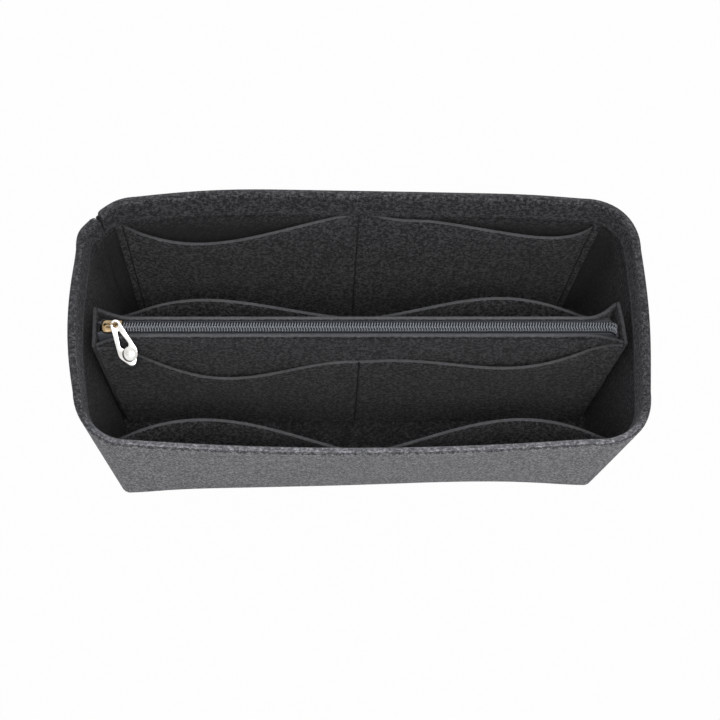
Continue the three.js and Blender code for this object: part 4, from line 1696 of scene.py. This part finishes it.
@dataclass
class Stage:
    """Floor, light and camera of the picture. The floor's sizes are in metres."""

    target: Triple = (1.45, 0.75, 80.0)
    elevation: float = math.radians(74.1)
    yaw: float = math.radians(-6.2)
    roll: float = math.radians(5.9)
    distance: float = 839.0
    focal_px: float = 1477.0
    picture_px: float = 720.0
    sensor: float = 36.0
    floor_half: float = 3.0
    floor_drop: float = 0.0002
    floor_grey: float = 0.9
    sky: float = 0.23
    sky_tint: Triple = (0.92, 0.95, 1.04)
    shadow_share: float = 0.022
    lamps: tuple[Lamp, ...] = (
        Lamp("front_softbox", (0.3, -1.3, 0.1), (0.0, -0.06, 0.08), (0.9, 0.18), 10.0),
        Lamp("high_softbox", (0.05, -0.42, 1.5), (0.0, 0.0, 0.1), (0.6, 0.6), 5.4),
        Lamp("back_softbox", (0.0, 1.4, 0.36), (0.0, 0.0, 0.16), (1.2, 0.2), 7.0),
    )

    def build_camera(self) -> None:
        """Set up the camera at the photograph's viewing angle."""
        level_run = math.cos(self.elevation)
        across = math.sin(self.yaw) * level_run
        back = Vector((across, -math.cos(self.yaw) * level_run, math.sin(self.elevation)))
        level = (-back).cross(Vector((0, 0, 1))).normalized()
        upright = level.cross(-back)
        right = level * math.cos(self.roll) + upright * math.sin(self.roll)
        up = upright * math.cos(self.roll) - level * math.sin(self.roll)
        data = bpy.data.cameras.new("camera")
        data.sensor_width = self.sensor
        data.lens = self.focal_px / self.picture_px * self.sensor
        camera = new_object("camera", data)
        turned = Matrix((right, up, back)).transposed().to_4x4()
        camera.matrix_world = Matrix.Translation((Vector(self.target) + back * self.distance) * MM) @ turned
        bpy.context.scene.camera = camera

    @staticmethod
    def seen_directly(graph: Graph) -> Socket:
        """Return a value that is 1 for rays that show the background, seen or mirrored."""
        rays = graph.add("ShaderNodeLightPath").outputs
        value = rays["Is Camera Ray"]
        for name in ("Is Glossy Ray", "Is Transmission Ray"):
            value = graph.maths("MAXIMUM", value, rays[name])
        return value

    def build_world(self) -> None:
        """Make a world that is white to look at and lights the object softly."""
        world = bpy.data.worlds.new("studio")
        bpy.context.scene.world = world
        world.use_nodes = True
        graph = Graph(world.node_tree)
        sky = (*(self.sky * part for part in self.sky_tint), 1.0)
        given = {"Factor": self.seen_directly(graph), "A": sky, "B": (1.0, 1.0, 1.0, 1.0)}
        colour = graph.add("ShaderNodeMix", given, data_type="RGBA").outputs["Result"]
        graph.feed(graph.tree.nodes["Background"].inputs["Color"], colour)

    def build_floor(self) -> None:
        """Lay a pale floor that keeps a faint shadow."""
        half = self.floor_half
        signs = ((-1, -1), (1, -1), (1, 1), (-1, 1))
        corners = [(half * x, half * y, -self.floor_drop) for x, y in signs]
        mesh = new_mesh("floor", corners, [], [(0, 1, 2, 3)])
        floor = new_object("floor", mesh)
        sketch = Sketch("pale_floor")
        sketch.finish(Base_Color=(*[self.floor_grey] * 3, 1.0), Roughness=0.9)
        share = sketch.product(self.seen_directly(sketch), 1.0 - self.shadow_share)
        glow = sketch.add("ShaderNodeEmission").outputs["Emission"]
        mix = sketch.add("ShaderNodeMixShader", {"Fac": share, 1: sketch.shader.outputs["BSDF"], 2: glow})
        sketch.feed(sketch.tree.nodes["Material Output"].inputs["Surface"], mix.outputs["Shader"])
        mesh.materials.append(sketch.material)

    def build(self) -> None:
        """Set up the whole stage."""
        bpy.context.scene.view_settings.view_transform = "Standard"
        self.build_camera()
        self.build_world()
        self.build_floor()
        for lamp in self.lamps:
            lamp.hang()


# Assembly


def settle_felt(thing: Thing, node: str, flat: Span) -> None:
    """Args:
        thing: The piece.
        node: The frame's node that it stands for.
        flat: Width and length of its cut in metres; not used.
    """
    Piece(thing, Body.ORGANIZER, Slot.FELT, [node]).settle()


def build_felt(wall: OuterWall, pouch: ZipPouch, pockets: list[PocketPanel], looks: Finishes) -> None:
    around = 2 * (wall.rim_length + wall.rim_depth) - (8 - 2 * math.pi) * wall.rim_corner
    strip = (around * MM, (wall.height + wall.hem_depth) * MM)
    settle_felt(wall.build_strip(looks), "outer_wall", strip)
    base = (wall.base_length * MM, wall.base_depth * MM)
    settle_felt(wall.build_base(looks), "base_panel", base)
    tall = (pouch.top - wall.floor_top) * MM
    long = 2 * pouch.panel_end * MM
    for facing in Facing:
        name = f"pouch_{facing.name.lower()}"
        panel = pouch.build_panel(f"{name}_felt", facing, looks)
        settle_felt(panel, f"{name}_panel", (long, tall))
    for side in (Side.LEFT, Side.RIGHT):
        node = f"pouch_{side.name.lower()}_gusset"
        gusset = pouch.build_gusset(f"{node}_felt", side, looks)
        settle_felt(gusset, node, (pouch.base_width * MM, tall))
    floor = (long, (pouch.base_width - 2 * wall.felt) * MM)
    settle_felt(pouch.build_floor(looks), "pouch_floor", floor)
    for pocket in pockets:
        settle_felt(pocket.build(looks), pocket.node, pocket.flat_size())


@dataclass(frozen=True)
class Stitching:
    """A kind of stitch: its thread, its spacing and how uneven it is."""

    radius: float = 0.4
    length: float = 2.5
    dive: float = 0.2
    pitch: float = 3.1
    unevenness: float = 0.12


STITCHES = {
    "corner_seam_thread": Stitching(radius=0.8, length=2.2, dive=0.0, pitch=0.8, unevenness=0.0),
    "rim_topstitch": Stitching(radius=0.17),
    "hem_stitches": Stitching(radius=0.19),
    "zip_stitches": Stitching(radius=0.32),
}
FIRST_SEED = 10


def build_stitches(wall: OuterWall, pouch: ZipPouch, pockets: list[PocketPanel], tree: RepeatTree,
                   looks: Finishes) -> None:
    """Build the visible lines of stitching."""
    lines = {
        "corner_seam_thread": wall.seam_paths(),
        "rim_topstitch": wall.rim_paths(),
        "hem_stitches": wall.hem_paths(),
        "zip_stitches": pouch.zip_paths(),
    }
    for pocket in pockets:
        lines[f"{pocket.node}_stitches"] = pocket.seam_paths()
    for seed, (name, paths) in enumerate(lines.items(), start=FIRST_SEED):
        kind = STITCHES.get(name, Stitching())
        stitch = stitch_mesh(kind.length, kind.radius, kind.dive)
        finish = looks.hem_thread if name == "hem_stitches" else looks.thread
        line = tree.run(name, paths, stitch, kind.pitch, finish, unevenness=kind.unevenness, seed=seed)
        Piece(line, Body.ORGANIZER, Slot.THREAD).settle()


def build_zip(fastener: Zip, tree: RepeatTree, looks: Finishes) -> None:
    """Build the zip's chain, tapes, tacks, slider and pull."""
    for facing in Facing:
        side = facing.name.lower()
        tape = fastener.build_tape(facing, looks)
        Piece(tape, Body.ORGANIZER, Slot.TAPE, [f"zip_tape_{side}"]).settle()
        coil = fastener.build_coil(facing, tree, looks)
        Piece(coil, Body.ORGANIZER, Slot.COIL, [f"zip_coil_{side}"]).settle()
    Piece(fastener.build_cord(tree, looks), Body.ORGANIZER, Slot.THREAD).settle()
    left_x = fastener.tack / 2 - fastener.tape_end
    right_x = fastener.chain_half_length + fastener.pouch.wall.sewn_gap + fastener.tack / 2
    tacks = (("left", left_x, fastener.post_width), ("right", right_x, fastener.chain_width / 2))
    for side, x, half_span in tacks:
        tack = fastener.build_tack(f"{side}_tack_thread", x, half_span, tree, looks)
        Piece(tack, Body.ORGANIZER, Slot.THREAD, [f"{side}_bar_tack"]).settle()
    Piece(ZipSlider().build(looks), Body.SLIDER, Slot.SLIDER, ["zip_slider"]).settle()
    Piece(ZipPull().build(looks), Body.PULL, Slot.PULL, ["zip_pull"]).settle()


def main() -> None:
    """Build the stage and the object in order."""
    logging.basicConfig(level=logging.INFO)
    Stage().build()
    looks = Finishes.make()
    tree = RepeatTree()
    wall = OuterWall()
    pouch = ZipPouch(wall)
    pockets = pockets_of(wall, pouch)
    build_felt(wall, pouch, pockets, looks)
    build_stitches(wall, pouch, pockets, tree, looks)
    build_zip(Zip(pouch), tree, looks)


if __name__ == "__main__":
    main()
